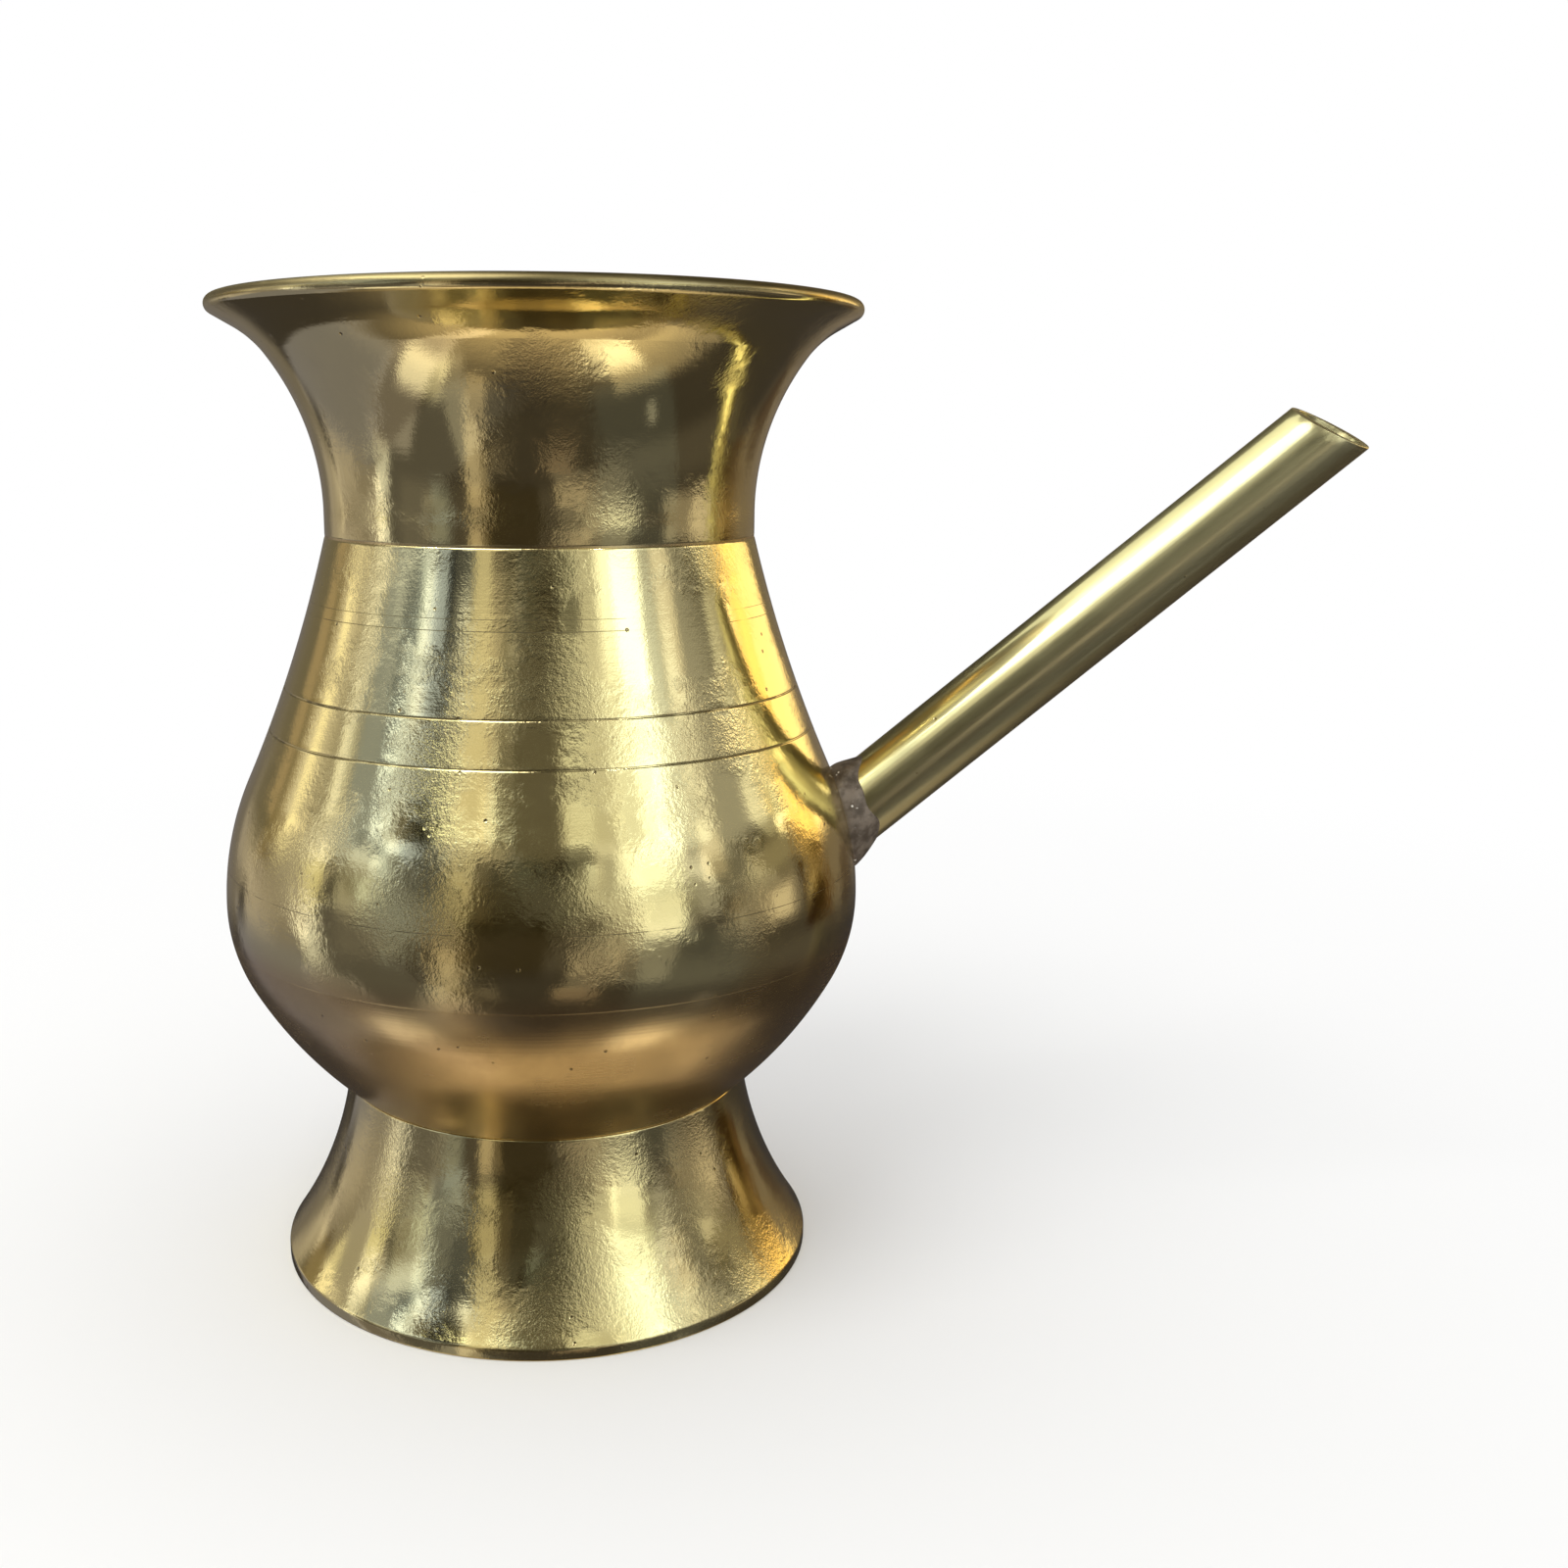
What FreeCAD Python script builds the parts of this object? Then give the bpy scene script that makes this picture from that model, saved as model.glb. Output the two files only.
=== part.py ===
import FreeCAD, Part
import math
import os

import Sketcher

# Small brass pouring vessel: a pear-shaped body of two shells on a hollow flared foot, with a
# trumpet mouth and a straight drawn tube as its spout. Five brass pieces are held by four runs
# of brazing metal. Millimetres and degrees. +Z is up, the spout points along +X, and the
# origin is the middle of the foot ring, level with what the vessel stands on.

os.makedirs("parts", exist_ok=True)
doc = FreeCAD.newDocument("pouring_vessel")

# The driving sizes, one row each: name, number, meaning
sizeRows = [
    ("rim_radius", 40.0, "mouth, to the outermost edge of the lip"),
    ("lip_edge", 1.0, "rounding of the lip's edge"),
    ("flare_share", 0.61538, "share of the way from neck to rim that the flare takes, the lip the rest"),
    ("lip_drop", 4.4, "how far below the top the flare turns over into the lip"),
    ("lip_blend", 6.0, "rounding of that turn"),
    ("neck_rise", 28.2, "crease up to the top of the lip"),
    ("throat_rise", 2.9, "upright band just above the crease"),
    ("neck_radius", 27.0, "outside of the neck at the crease"),
    ("neck_wall", 1.5, "wall of the neck and the flare"),
    ("shoulder_rise", 46.1, "belly circle up to the crease"),
    ("waist_sweep", 178.0, "radius of the hollow sweep below the crease"),
    ("shoulder_curve", 38.0, "radius of the shoulder"),
    ("belly_radius", 40.95, "widest circle of the body"),
    ("belly_curve", 20.1, "radius of the turn below the belly circle"),
    ("flank_curve", 53.0, "radius of the flank under that turn"),
    ("bowl_depth", 24.6, "foot joint up to the belly circle"),
    ("body_wall", 1.5, "wall of both body shells"),
    ("seam_drop", 3.5, "belly circle down to the seam between the two shells"),
    ("lap_height", 2.4, "how far one shell laps inside the next at a joint"),
    ("lap_depth", 0.6, "how far inside the outer skin the two lapped halves meet"),
    ("groove_width", 0.55, "width of a scribed line on the shoulder"),
    ("groove_depth", 0.3, "its depth"),
    ("lower_groove", 22.4, "belly circle up to the lower scribed line"),
    ("upper_groove", 27.6, "belly circle up to the upper scribed line"),
    ("seat_radius", 26.35, "outside of the foot where it meets the bowl"),
    ("foot_height", 24.0, "table up to that joint"),
    ("foot_radius", 35.15, "outside of the foot ring"),
    ("foot_sweep", 52.0, "radius of the foot's hollow sweep"),
    ("foot_wall", 1.5, "wall of the foot"),
    ("ring_height", 1.4, "upright edge of the foot ring"),
    ("ring_width", 2.6, "flat face that the vessel stands on"),
    ("foot_bead", 1.8, "rounding of the brazed corner inside the foot"),
    ("tube_bore", 4.0, "radius of the spout's bore"),
    ("tube_wall", 1.0, "wall of the spout's tube"),
    ("tube_reach", 75.9, "spout, from the belly radius to its mouth"),
    ("tube_insert", 6.5, "spout inwards of the belly radius"),
    ("tube_slope", 40.0, "spout above the horizontal"),
    ("tube_rise", 10.9, "belly circle up to where the spout crosses the belly radius"),
    ("mouth_slant", 28.6, "slant of the sawn mouth from square"),
    ("mouth_turn", 32.3, "how far that slant is turned round the tube"),
    ("braze_thickness", 0.55, "brazing metal round the spout's root"),
    ("braze_reach", 3.6, "how far it spreads out from the wall"),
    ("seam_fill_width", 0.7, "width of the brazed line at a seam"),
    ("seam_fill_depth", 0.4, "its depth"),
]
meaningColumn, numberColumn = "A", "B"
sheet = doc.addObject("Spreadsheet::Sheet", "sizes")
for row, (name, number, meaning) in enumerate(sizeRows, start=1):
    sheet.set(f"{meaningColumn}{row}", meaning)
    sheet.set(f"{numberColumn}{row}", str(number))
    sheet.setAlias(f"{numberColumn}{row}", name)
doc.recompute()


class Size:
    # A number together with the sheet formula that gives it, so that one sum serves both
    def __init__(self, number, formula):
        self.number = number
        self.formula = formula

    def __add__(self, other):
        return Size(self.number + other.number, f"({self.formula} + {other.formula})")

    def __sub__(self, other):
        return Size(self.number - other.number, f"({self.formula} - {other.formula})")

    def __mul__(self, other):
        times = other if isinstance(other, Size) else Size(other, str(other))
        return Size(self.number * times.number, f"({self.formula} * {times.formula})")

    def root(self):
        return Size(math.sqrt(self.number), f"sqrt({self.formula})")

    def squared(self):
        return Size(self.number**2, f"({self.formula} * {self.formula})")


def size(name):
    return Size(float(sheet.get(name)), f"sizes.{name}")


# Heights above the table, and radii that more than one piece goes by
nothing = Size(0.0, "0")
bellyHeight = size("foot_height") + size("bowl_depth")
seamHeight = bellyHeight - size("seam_drop")
creaseHeight = bellyHeight + size("shoulder_rise")
throatHeight = creaseHeight + size("throat_rise")
rimHeight = creaseHeight + size("neck_rise")
seamSpread = (size("belly_curve").squared() - size("seam_drop").squared()).root()
seamRadius = size("belly_radius") - size("belly_curve") + seamSpread
tubeRadius = size("tube_bore") + size("tube_wall")
beyond = size("belly_radius") + size("rim_radius")  # further out than any wall


def pointFrom(start, end, distance):
    # The point at a distance from start on the way to end
    share = distance / math.dist(start, end)
    return (start[0] + (end[0] - start[0]) * share, start[1] + (end[1] - start[1]) * share)


def rightHandMeeting(centreA, radiusA, centreB, radiusB):
    # Where two circles cross, on the right of the way from A to B
    span = math.dist(centreA, centreB)
    along = (radiusA**2 - radiusB**2 + span**2) / (2 * span)
    aside = math.sqrt(radiusA**2 - along**2)
    wayX = (centreB[0] - centreA[0]) / span
    wayY = (centreB[1] - centreA[1]) / span
    return (
        centreA[0] + along * wayX + aside * wayY,
        centreA[1] + along * wayY - aside * wayX,
    )


def flat(point):
    return FreeCAD.Vector(point[0], point[1], 0)


class Outline:
    # A closed sketch on a body's upright plane, drawn corner by corner. An edge is None where
    # it is straight, or (centre, turn) where it is an arc, turn being 1 anticlockwise and
    # -1 clockwise. At a smooth corner the two edges are tangent.
    def __init__(self, body, name, corners, edges, smooth=()):
        self.sketch = body.newObject("Sketcher::SketchObject", name)
        plane = next(f for f in body.Origin.OriginFeatures if f.Role == "XZ_Plane")
        self.sketch.AttachmentSupport = [(plane, "")]
        self.sketch.MapMode = "FlatFace"
        self.first = []
        self.last = []
        for index, edge in enumerate(edges):
            start = corners[index]
            end = corners[(index + 1) % len(corners)]
            if edge is None:
                self.sketch.addGeometry(Part.LineSegment(flat(start), flat(end)))
                self.first.append(1)
                self.last.append(2)
                continue
            centre, turn = edge
            circle = Part.Circle(flat(centre), FreeCAD.Vector(0, 0, 1), math.dist(centre, start))
            opening, closing = [
                math.atan2(point[1] - centre[1], point[0] - centre[0])
                for point in (start, end)[::turn]
            ]
            if closing < opening:
                closing += 2 * math.pi
            self.sketch.addGeometry(Part.ArcOfCircle(circle, opening, closing))
            self.first.append(1 if turn > 0 else 2)
            self.last.append(2 if turn > 0 else 1)
        for index in range(len(edges)):
            before = index - 1 if index else len(edges) - 1
            kind = "Tangent" if index in smooth else "Coincident"
            self.tie(kind, before, self.last[before], index, self.first[index])

    def tie(self, kind, *where):
        return self.sketch.addConstraint(Sketcher.Constraint(kind, *where))

    def measure(self, kind, where, value):
        index = self.tie(kind, *where, value.number)
        self.sketch.setExpression(f"Constraints[{index}]", value.formula)

    def at(self, corner, across=None, up=None):
        self.place(corner, self.first[corner], across, up)

    def centreAt(self, edge, across=None, up=None):
        self.place(edge, 3, across, up)

    def place(self, edge, point, across, up):
        for value, kind, axis in ((across, "DistanceX", -2), (up, "DistanceY", -1)):
            if value is nothing:
                self.tie("PointOnObject", edge, point, axis)
            elif value is not None:
                self.measure(kind, (-1, 1, edge, point), value)

    def radius(self, edge, value):
        self.measure("Radius", (edge,), value)

    def ray(self, edge, target, across, up, length):
        # A helper line from an arc's centre to a fixed point, at a stated distance from it
        centre = self.sketch.getPoint(edge, 3)
        line = self.sketch.addGeometry(Part.LineSegment(centre, flat(target)), True)
        self.tie("Coincident", line, 1, edge, 3)
        self.place(line, 2, across, up)
        self.measure("Distance", (line, 1, line, 2), length)
        return line

    def turned(self, body):
        # The outline turned once round the body's own Z axis
        feature = body.newObject("PartDesign::Revolution", f"{self.sketch.Name}_turned")
        feature.Profile = self.sketch
        feature.ReferenceAxis = (self.sketch, ["V_Axis"])
        feature.Angle = 360
        return feature


def straightSided(name, spots):
    # A turned body whose outline has only straight edges between the given spots
    body = doc.addObject("PartDesign::Body", name)
    corners = [(across.number, up.number) for across, up in spots]
    outline = Outline(body, f"{name}_outline", corners, [None] * len(spots))
    for corner, (across, up) in enumerate(spots):
        outline.at(corner, across, up)
    outline.turned(body)
    return body


def ringOf(name, inner, outer, low, high):
    return straightSided(name, [(inner, low), (outer, low), (outer, high), (inner, high)])


def combined(kind, name, base, tool):
    # What base and tool have in common, or base with tool cut away
    piece = doc.addObject(f"Part::{kind}", name)
    piece.Base, piece.Tool = base, tool
    return piece


def joined(name, shapes):
    piece = doc.addObject("Part::MultiFuse", name)
    piece.Shapes = shapes
    return piece


def pear(name, grow):
    # The body's solid with its skin moved outwards by grow: five arcs, each tangent to the
    # next, go from the bottom of the bowl past the belly circle to the crease
    belly, turn = size("belly_radius"), size("belly_curve")
    flank, shoulder, waist = size("flank_curve"), size("shoulder_curve"), size("waist_sweep")
    seat = (size("seat_radius").number, size("foot_height").number)
    crease = (size("neck_radius").number, creaseHeight.number)
    level, off = bellyHeight.number, grow.number
    turnCentre = (belly.number - turn.number, level)
    shoulderCentre = (belly.number - shoulder.number, level)
    flankCentre = rightHandMeeting(
        turnCentre, flank.number - turn.number, seat, flank.number
    )
    waistCentre = rightHandMeeting(
        shoulderCentre, shoulder.number + waist.number, crease, waist.number
    )
    toAxis = flank.number * seat[0] / (seat[0] - flankCentre[0])
    capCentre = pointFrom(seat, flankCentre, toAxis)
    fall = crease[1] - waistCentre[1]
    atCrease = waistCentre[0] - math.sqrt((waist.number - off) ** 2 - fall**2)
    corners = [
        (0, capCentre[1] - toAxis - off),
        pointFrom(flankCentre, seat, flank.number + off),
        pointFrom(flankCentre, turnCentre, flank.number + off),
        (belly.number + off, level),
        pointFrom(shoulderCentre, waistCentre, shoulder.number + off),
        (atCrease, crease[1]),
        (0, crease[1]),
    ]
    edges = [
        (capCentre, 1),
        (flankCentre, 1),
        (turnCentre, 1),
        (shoulderCentre, 1),
        (waistCentre, -1),
        None,
        None,
    ]
    body = doc.addObject("PartDesign::Body", name)
    outline = Outline(body, f"{name}_outline", corners, edges, smooth=(1, 2, 3, 4))
    capArc, flankArc, turnArc, shoulderArc, waistArc, lid, middle = range(len(edges))
    outline.at(capArc, across=nothing)
    outline.centreAt(capArc, across=nothing)
    outline.at(middle, across=nothing)
    outline.at(lid, up=creaseHeight)
    outline.tie("Horizontal", lid)
    outline.at(shoulderArc, belly + grow, bellyHeight)
    outline.centreAt(turnArc, up=bellyHeight)
    outline.radius(flankArc, flank + grow)
    outline.radius(turnArc, turn + grow)
    outline.radius(shoulderArc, shoulder + grow)
    outline.radius(waistArc, waist - grow)
    seatRay = outline.ray(flankArc, seat, size("seat_radius"), size("foot_height"), flank)
    outline.tie("PointOnObject", flankArc, outline.first[flankArc], seatRay)
    outline.ray(waistArc, crease, size("neck_radius"), creaseHeight, waist)
    outline.turned(body)
    return body


pearForm = pear("pear_form", nothing)
pearHollow = pear("pear_hollow", nothing - size("body_wall"))
grooveFloor = pear("groove_floor", nothing - size("groove_depth"))
brazeLimit = pear("braze_limit", size("braze_reach"))


def seamFill(name, radius, height):
    # The V-shaped ring that brazing metal fills at a seam, left long towards the outside
    width, depth = size("seam_fill_width"), size("seam_fill_depth")
    outside = radius + depth
    return straightSided(
        name,
        [(radius - depth, height), (outside, height - width), (outside, height + width)],
    )


neckNotch = seamFill("neck_notch", size("neck_radius"), creaseHeight)
seamNotch = seamFill("seam_notch", seamRadius, seamHeight)

# The neck: an upright band, a flare and a lip; the inner part of its wall laps into the body
neckX, throatY = size("neck_radius").number, throatHeight.number
rimX, rimY = size("rim_radius").number, rimHeight.number
edgeRound = size("lip_edge").number
neckLapRadius = size("neck_radius") - size("lap_depth")
lapFloor = creaseHeight - size("lap_height")
flareSpan = size("rim_radius") - size("neck_radius")
turnOverRadius = size("neck_radius") + flareSpan * size("flare_share")
turnOver = (turnOverRadius.number, rimY - size("lip_drop").number)
flareRun, flareClimb = turnOver[0] - neckX, turnOver[1] - throatY
flareRadius = (flareRun**2 + flareClimb**2) / (2 * flareRun)
flareCentre = (neckX + flareRadius, throatY)
lipCentre = (rimX - edgeRound, rimY - edgeRound)
underLength = math.sqrt(math.dist(turnOver, lipCentre) ** 2 - edgeRound**2)
lipUnder = rightHandMeeting(turnOver, underLength, lipCentre, edgeRound)
innerRadius = flareRadius + size("neck_wall").number
lipInside = flareCentre[0] - math.sqrt(innerRadius**2 - (rimY - throatY) ** 2)
boreX = neckX - size("neck_wall").number
neckForm = doc.addObject("PartDesign::Body", "neck_form")
neckCorners = [
    (neckX, creaseHeight.number),
    (neckX, throatY),
    turnOver,
    lipUnder,
    (lipCentre[0], rimY),
    (lipInside, rimY),
    (boreX, throatY),
    (boreX, lapFloor.number),
    (neckLapRadius.number, lapFloor.number),
    (neckLapRadius.number, creaseHeight.number),
]
neckEdges = [
    None,
    (flareCentre, -1),
    None,
    (lipCentre, 1),
    None,
    (flareCentre, 1),
    None,
    None,
    None,
    None,
]
neckOutline = Outline(neckForm, "neck_outline", neckCorners, neckEdges, smooth=(1, 3, 4))
(
    band,
    flareOut,
    underLip,
    lipArc,
    lipTop,
    flareIn,
    boreSide,
    lapEnd,
    lapSide,
    shelf,
) = range(len(neckEdges))
neckOutline.at(band, size("neck_radius"), creaseHeight)
neckOutline.at(flareOut, size("neck_radius"), throatHeight)
neckOutline.at(underLip, turnOverRadius, rimHeight - size("lip_drop"))
neckOutline.radius(lipArc, size("lip_edge"))
neckOutline.centreAt(lipArc, size("rim_radius") - size("lip_edge"), rimHeight - size("lip_edge"))
neckOutline.tie("Horizontal", lipTop)
neckOutline.tie("Coincident", flareIn, 3, flareOut, 3)
neckOutline.at(boreSide, size("neck_radius") - size("neck_wall"), throatHeight)
neckOutline.tie("Vertical", boreSide)
neckOutline.tie("Horizontal", lapEnd)
neckOutline.at(lapSide, neckLapRadius, lapFloor)
neckOutline.tie("Vertical", lapSide)
neckOutline.tie("Horizontal", shelf)
neckTurned = neckOutline.turned(neckForm)
doc.recompute()


def circlesAt(shape, radius, height):
    # Names of the edges that go round the Z axis at a radius and a height
    near = 0.01
    names = []
    for index, edge in enumerate(shape.Edges, start=1):
        box = edge.BoundBox
        if abs(box.XMax - radius) < near and max(abs(box.ZMin - height), box.ZLength) < near:
            names.append(f"Edge{index}")
    return names


lipTurn = neckForm.newObject("PartDesign::Fillet", "lip_turn")
lipTurn.Base = (neckTurned, circlesAt(neckTurned.Shape, *turnOver))
lipTurn.setExpression("Radius", size("lip_blend").formula)
doc.recompute()
lipInner = neckForm.newObject("PartDesign::Fillet", "lip_inner_edge")
lipInner.Base = (lipTurn, circlesAt(lipTurn.Shape, lipInside, rimY))
lipInner.setExpression("Radius", (size("lip_edge") * 0.5).formula)
neckRim = combined("Cut", "neck_rim", neckForm, neckNotch)

# The body: one wall all over, parted below the belly circle, where the bowl laps inside
shell = combined("Cut", "body_wall_all_round", pearForm, pearHollow)
belowSeam = ringOf("below_seam", nothing, beyond, nothing, seamHeight)
bowlLap = ringOf(
    "bowl_lap", nothing, seamRadius - size("lap_depth"), nothing, seamHeight + size("lap_height")
)
bowlRegion = joined("bowl_region", [belowSeam, bowlLap])
bowlWall = combined("Common", "bowl_wall", shell, bowlRegion)
lowerBowl = combined("Cut", "lower_bowl", bowlWall, seamNotch)
neckRebate = ringOf("neck_rebate", nothing, neckLapRadius, lapFloor, throatHeight)


def scribedLine(name, height):
    # A shallow band cut round the shoulder
    half = size("groove_width") * 0.5
    disc = ringOf(f"{name}_disc", nothing, beyond, height - half, height + half)
    return combined("Cut", name, disc, grooveFloor)


lowerLine = scribedLine("lower_line", bellyHeight + size("lower_groove"))
upperLine = scribedLine("upper_line", bellyHeight + size("upper_groove"))

# The spout: a straight tube, made upright and then set at its slope, its mouth sawn aslant
entryHeight = bellyHeight + size("tube_rise")
spoutPlace = (
    f"placement(vector(sizes.belly_radius; 0; {entryHeight.formula}); "
    "rotation(vector(0; 1; 0); 90 - sizes.tube_slope) * "
    "rotation(vector(0; 0; 1); sizes.mouth_turn))"
)
slantTangent = math.tan(math.radians(size("mouth_slant").number))
sawReach = tubeRadius * 2
sawRise = Size(sawReach.number * slantTangent, f"{sawReach.formula} * tan(sizes.mouth_slant)")
tubeStart = nothing - size("tube_insert")
tubeEnd = size("tube_reach") + sawReach
aboveEnd = tubeEnd + sawReach
spoutTube = ringOf("spout_tube", size("tube_bore"), tubeRadius, tubeStart, tubeEnd)
sawSpots = [
    (nothing - sawReach, size("tube_reach") - sawRise),
    (sawReach, size("tube_reach") + sawRise),
    (sawReach, aboveEnd),
    (nothing - sawReach, aboveEnd),
]
sawOutline = Outline(
    spoutTube,
    "mouth_outline",
    [(across.number, up.number) for across, up in sawSpots],
    [None] * len(sawSpots),
)
for corner, (across, up) in enumerate(sawSpots):
    sawOutline.at(corner, across, up)
sawn = spoutTube.newObject("PartDesign::Pocket", "mouth_sawn")
sawn.Profile = sawOutline.sketch
sawn.Type = "ThroughAll"
sawn.SideType = "Symmetric"
spoutTube.setExpression("Placement", spoutPlace)

holeStart = tubeStart - tubeRadius
spoutHole = ringOf("spout_hole", nothing, tubeRadius, holeStart, tubeEnd)
spoutHole.setExpression("Placement", spoutPlace)
cutFromBody = joined(
    "cut_from_body",
    [bowlRegion, seamNotch, neckRebate, neckNotch, lowerLine, upperLine, spoutHole],
)
upperBody = combined("Cut", "upper_body", shell, cutFromBody)

# The brazing metal: a collar that follows the curved wall round the spout's root, the two
# flush seam lines, and a bead in the corner inside the foot
collarRadius = tubeRadius + size("braze_thickness")
collarSleeve = ringOf("collar_sleeve", tubeRadius, collarRadius, holeStart, tubeEnd)
collarSleeve.setExpression("Placement", spoutPlace)
collarRun = combined("Common", "collar_run", collarSleeve, brazeLimit)
spoutBraze = combined("Cut", "spout_braze", collarRun, pearForm)
neckJoint = joined("neck_joint", [shell, neckForm])
neckBraze = combined("Common", "neck_braze", neckNotch, neckJoint)
bellyBraze = combined("Common", "belly_braze", seamNotch, shell)

# The foot: a hollow flare on a flat ring, left tall and then cut to the bowl that it carries
seat = (size("seat_radius").number, size("foot_height").number)
ring = (size("foot_radius").number, size("ring_height").number)
sweep = size("foot_sweep").number
innerSweep = sweep + size("foot_wall").number
ringInside = ring[0] - size("ring_width").number
footTop = size("foot_height") + size("foot_wall")
footCentre = rightHandMeeting(ring, sweep, seat, sweep)


def sweepAt(radius, height):
    # How far out the foot's sweep of a given radius is at a height
    return footCentre[0] - math.sqrt(radius**2 - (height - footCentre[1]) ** 2)


footBlank = doc.addObject("PartDesign::Body", "foot_blank")
footCorners = [
    (ring[0], 0),
    ring,
    (sweepAt(sweep, footTop.number), footTop.number),
    (sweepAt(innerSweep, footTop.number), footTop.number),
    (sweepAt(innerSweep, ring[1]), ring[1]),
    (ringInside, ring[1]),
    (ringInside, 0),
]
footEdges = [None, (footCentre, -1), None, (footCentre, 1), None, None, None]
footOutline = Outline(footBlank, "foot_outline", footCorners, footEdges)
ringEdge, sweepOut, topEdge, sweepIn, ledge, ringInner, floorEdge = range(len(footEdges))
footOutline.at(ringEdge, size("foot_radius"), nothing)
footOutline.at(sweepOut, size("foot_radius"), size("ring_height"))
footOutline.radius(sweepOut, size("foot_sweep"))
footOutline.ray(
    sweepOut, seat, size("seat_radius"), size("foot_height"), size("foot_sweep")
)
footOutline.at(topEdge, up=footTop)
footOutline.tie("Horizontal", topEdge)
footOutline.tie("Coincident", sweepIn, 3, sweepOut, 3)
footOutline.radius(sweepIn, size("foot_sweep") + size("foot_wall"))
footOutline.tie("Horizontal", ledge)
ringBack = size("foot_radius") - size("ring_width")
footOutline.at(ringInner, ringBack, size("ring_height"))
footOutline.at(floorEdge, ringBack, nothing)
footOutline.turned(footBlank)
footPiece = combined("Cut", "foot", footBlank, pearForm)

# The bead is what a rounding of the corner between bowl and foot adds to the two
bowlAndFoot = joined("bowl_and_foot", [pearForm, footBlank])
doc.recompute()
footBead = doc.addObject("PartDesign::Body", "foot_bead_form")
footBead.BaseFeature = bowlAndFoot
doc.recompute()
bowlFlank = size("flank_curve").number
bellyTurn = size("belly_curve").number
turnCentre = (size("belly_radius").number - bellyTurn, bellyHeight.number)
flankCentre = rightHandMeeting(turnCentre, bowlFlank - bellyTurn, seat, bowlFlank)
bowlRound = bowlFlank * seat[0] / (seat[0] - flankCentre[0])
bowlCentre = pointFrom(seat, flankCentre, bowlRound)
footCorner = rightHandMeeting(bowlCentre, bowlRound, footCentre, innerSweep)
cornerEdges = circlesAt(bowlAndFoot.Shape, *footCorner)
beadTurn = footBead.newObject("PartDesign::Fillet", "bead_turn")
beadTurn.Base = (footBead.Group[0], cornerEdges)
beadTurn.setExpression("Radius", size("foot_bead").formula)
beadBelowBowl = combined("Cut", "bead_below_bowl", footBead, pearForm)
footBraze = combined("Cut", "foot_braze", beadBelowBowl, footBlank)

pieces = [
    neckRim,
    upperBody,
    lowerBowl,
    footPiece,
    spoutTube,
    spoutBraze,
    neckBraze,
    bellyBraze,
    footBraze,
]
doc.recompute()
for thing in doc.Objects:
    if "Invalid" in thing.State or "Error" in thing.State:
        raise RuntimeError(f"{thing.Name} did not build: {thing.State}")
for piece in pieces:
    if piece.Shape.isNull() or not piece.Shape.isValid() or len(piece.Shape.Solids) != 1:
        raise RuntimeError(f"{piece.Label} is not one sound solid")
    piece.Shape.exportStep(f"parts/{piece.Label}.step")
    print(piece.Label, round(piece.Shape.Volume, 1))
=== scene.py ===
import math

import bmesh
import bpy
import numpy as np
from mathutils import Matrix, Vector


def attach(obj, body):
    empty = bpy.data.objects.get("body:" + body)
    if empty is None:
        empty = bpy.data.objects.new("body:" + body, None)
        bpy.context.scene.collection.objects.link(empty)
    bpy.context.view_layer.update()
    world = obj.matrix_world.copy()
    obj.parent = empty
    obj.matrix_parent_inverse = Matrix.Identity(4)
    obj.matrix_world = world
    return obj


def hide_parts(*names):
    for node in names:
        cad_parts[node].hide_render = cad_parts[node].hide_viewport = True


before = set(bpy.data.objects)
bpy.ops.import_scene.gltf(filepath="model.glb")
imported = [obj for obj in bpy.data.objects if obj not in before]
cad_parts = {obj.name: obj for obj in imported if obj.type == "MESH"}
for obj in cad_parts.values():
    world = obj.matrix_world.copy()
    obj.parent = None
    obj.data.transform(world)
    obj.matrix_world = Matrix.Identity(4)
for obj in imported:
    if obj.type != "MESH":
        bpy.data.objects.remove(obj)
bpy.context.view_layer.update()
print("frame loaded:", sorted(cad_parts))

# outlines, in millimetres; meshes are made in metres
mm = 0.001

# the body's skin is five arcs from the bottom of the bowl to the crease under the neck
body = {
    "bellyRadius": 40.95,
    "bellyHeight": 48.6,
    "bellyCurve": 20.1,
    "flankCurve": 53.0,
    "shoulderCurve": 38.0,
    "waistSweep": 178.0,
    "seat": (26.35, 24.0),
    "crease": (27.0, 94.7),
    "wall": 1.5,
    "seamHeight": 45.1,
    "lapHeight": 2.4,
    "lapDepth": 0.6,
    "lines": (71.0, 76.2),
    "lineWidth": 0.24,
    "lineDepth": 0.035,
    "lineClear": 1.6,
    "edge": 0.12,
    "seamEdge": 0.03,
    "creaseEdge": 0.3,
    "segments": 320,
}


def unit(vector):
    # the vector divided by its own length
    return vector / np.linalg.norm(vector)


def rightMeeting(centreA, radiusA, centreB, radiusB):
    # where two circles cross, on the right of the way from A to B: along that way by
    # (radiusA^2 - radiusB^2 + span^2) / (2 span), then aside by what is left of radiusA
    a, b = np.array(centreA, float), np.array(centreB, float)
    span = np.linalg.norm(b - a)
    along = (radiusA**2 - radiusB**2 + span**2) / (2 * span)
    aside = math.sqrt(radiusA**2 - along**2)
    way = (b - a) / span
    return a + along * way + aside * np.array([way[1], -way[0]])


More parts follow.
